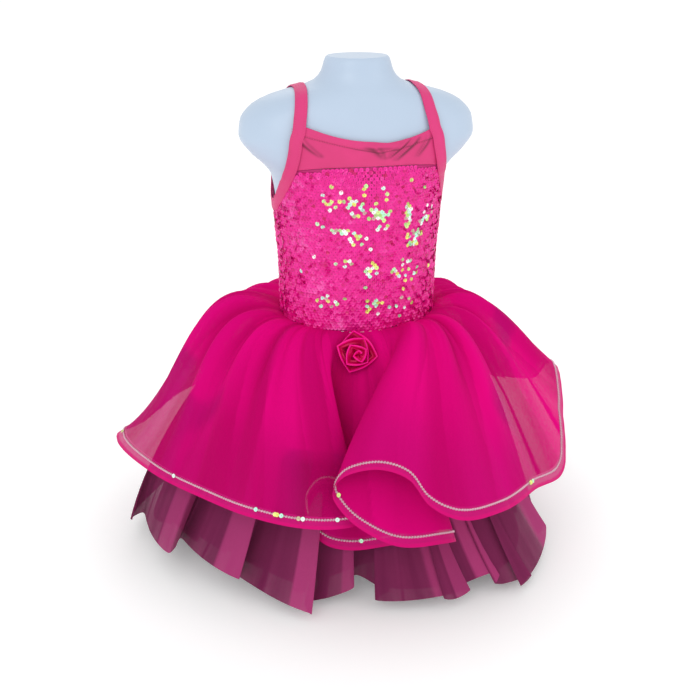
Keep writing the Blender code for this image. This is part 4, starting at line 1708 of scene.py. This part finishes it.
satin = Finish("crimson satin ribbon")
lip = satin.value("lip")
wrinkle = satin.noise(420.0, 3.0, satin.cloth(0.10, 1.0))
# Painted highlight and shade: bright magenta along the folded lips, dark crimson in the valleys.
painted_lip_highlight_and_shade = satin.ramp(
    lip + (wrinkle - 0.5) * 0.45,
    (0.00, (0.50, 0.0002, 0.045)),
    (0.30, (0.68, 0.0002, 0.120)),
    (0.65, (0.86, 0.0015, 0.190)),
    (1.00, (0.99, 0.0050, 0.320)),
)
satin.set(
    Base_Color=painted_lip_highlight_and_shade,
    Roughness=0.30 + wrinkle * 0.14,
    Normal=satin.bump(wrinkle, 0.0005, 0.7),
    Specular_IOR_Level=0.22,
    Sheen_Weight=0.1,
    Sheen_Roughness=0.3,
    Sheen_Tint=(1.0, 0.02, 0.35, 1),
)
lips = [stage[3] for stage in RIBBON_PROFILE[::-1] for _ in range(ROSE_STEPS + 1)]
rose = cloth_piece(
    "ribbon_rose", rose_grid(), satin, "satin", "rosette", wall=RIBBON, side=0.0, lip=lips
)

# The floor, the light and the camera
# A pale plain floor that runs on to the horizon, and broad soft lamps as for a catalogue picture.

CAMERA_AZIMUTH = math.radians(-12)
CAMERA_DISTANCE = 1.30
CAMERA_HEIGHT = 0.817
CAMERA_DROP = math.radians(22)
CAMERA_PAN = math.radians(0.4)
CAMERA_SHIFT = -8 / 700
LENS, SENSOR = 51.5, 36
FLOOR_REACH = 30
LAMP_AIM = Vector((0, 0, 0.35))

floor_mesh = bpy.data.meshes.new("floor")
corners = [(x * FLOOR_REACH, y * FLOOR_REACH, 0) for x, y in ((-1, -1), (1, -1), (1, 1), (-1, 1))]
floor_mesh.from_pydata(corners, [], [(0, 1, 2, 3)])
paper = Finish("pale floor")
paper.set(
    Base_Color=(0.95, 0.95, 0.95, 1),
    Roughness=0.9,
    Specular_IOR_Level=0.1,
    Emission_Color=(1.0, 1.0, 1.0, 1),
    Emission_Strength=0.17,
)
floor = finished("floor", floor_mesh, paper)


def soft_lamp(name, place, size, power):
    """A square lamp aimed at the middle of the dress."""
    light = bpy.data.lights.new(name, "AREA")
    light.shape = "SQUARE"
    light.size = size
    light.energy = power
    lamp = bpy.data.objects.new(name, light)
    bpy.context.scene.collection.objects.link(lamp)
    lamp.location = place
    lamp.rotation_mode = "QUATERNION"
    lamp.rotation_quaternion = (LAMP_AIM - lamp.location).to_track_quat("-Z", "Y")


soft_lamp("key", Vector((-1.5, -2.3, 2.4)), size=1.6, power=15)
soft_lamp("fill", Vector((2.2, -1.6, 1.6)), size=1.8, power=5.5)
soft_lamp("back", Vector((0.4, 2.4, 2.2)), size=1.8, power=6)

world = bpy.data.worlds.new("white room")
world.use_nodes = True
sky = world.node_tree.nodes["Background"]
sky.inputs["Color"].default_value = (1.0, 1.0, 1.0, 1)
sky.inputs["Strength"].default_value = 0.93
scene = bpy.context.scene
scene.world = world
scene.view_settings.view_transform = "Standard"

lens = bpy.data.cameras.new("camera")
lens.lens = LENS
lens.sensor_width = SENSOR
lens.shift_y = CAMERA_SHIFT
camera = bpy.data.objects.new("camera", lens)
scene.collection.objects.link(camera)
side, back_off = math.sin(CAMERA_AZIMUTH), -math.cos(CAMERA_AZIMUTH)
camera.location = (CAMERA_DISTANCE * side, CAMERA_DISTANCE * back_off, CAMERA_HEIGHT)
camera.rotation_euler = (math.pi / 2 - CAMERA_DROP, 0, CAMERA_AZIMUTH + CAMERA_PAN)
scene.camera = camera
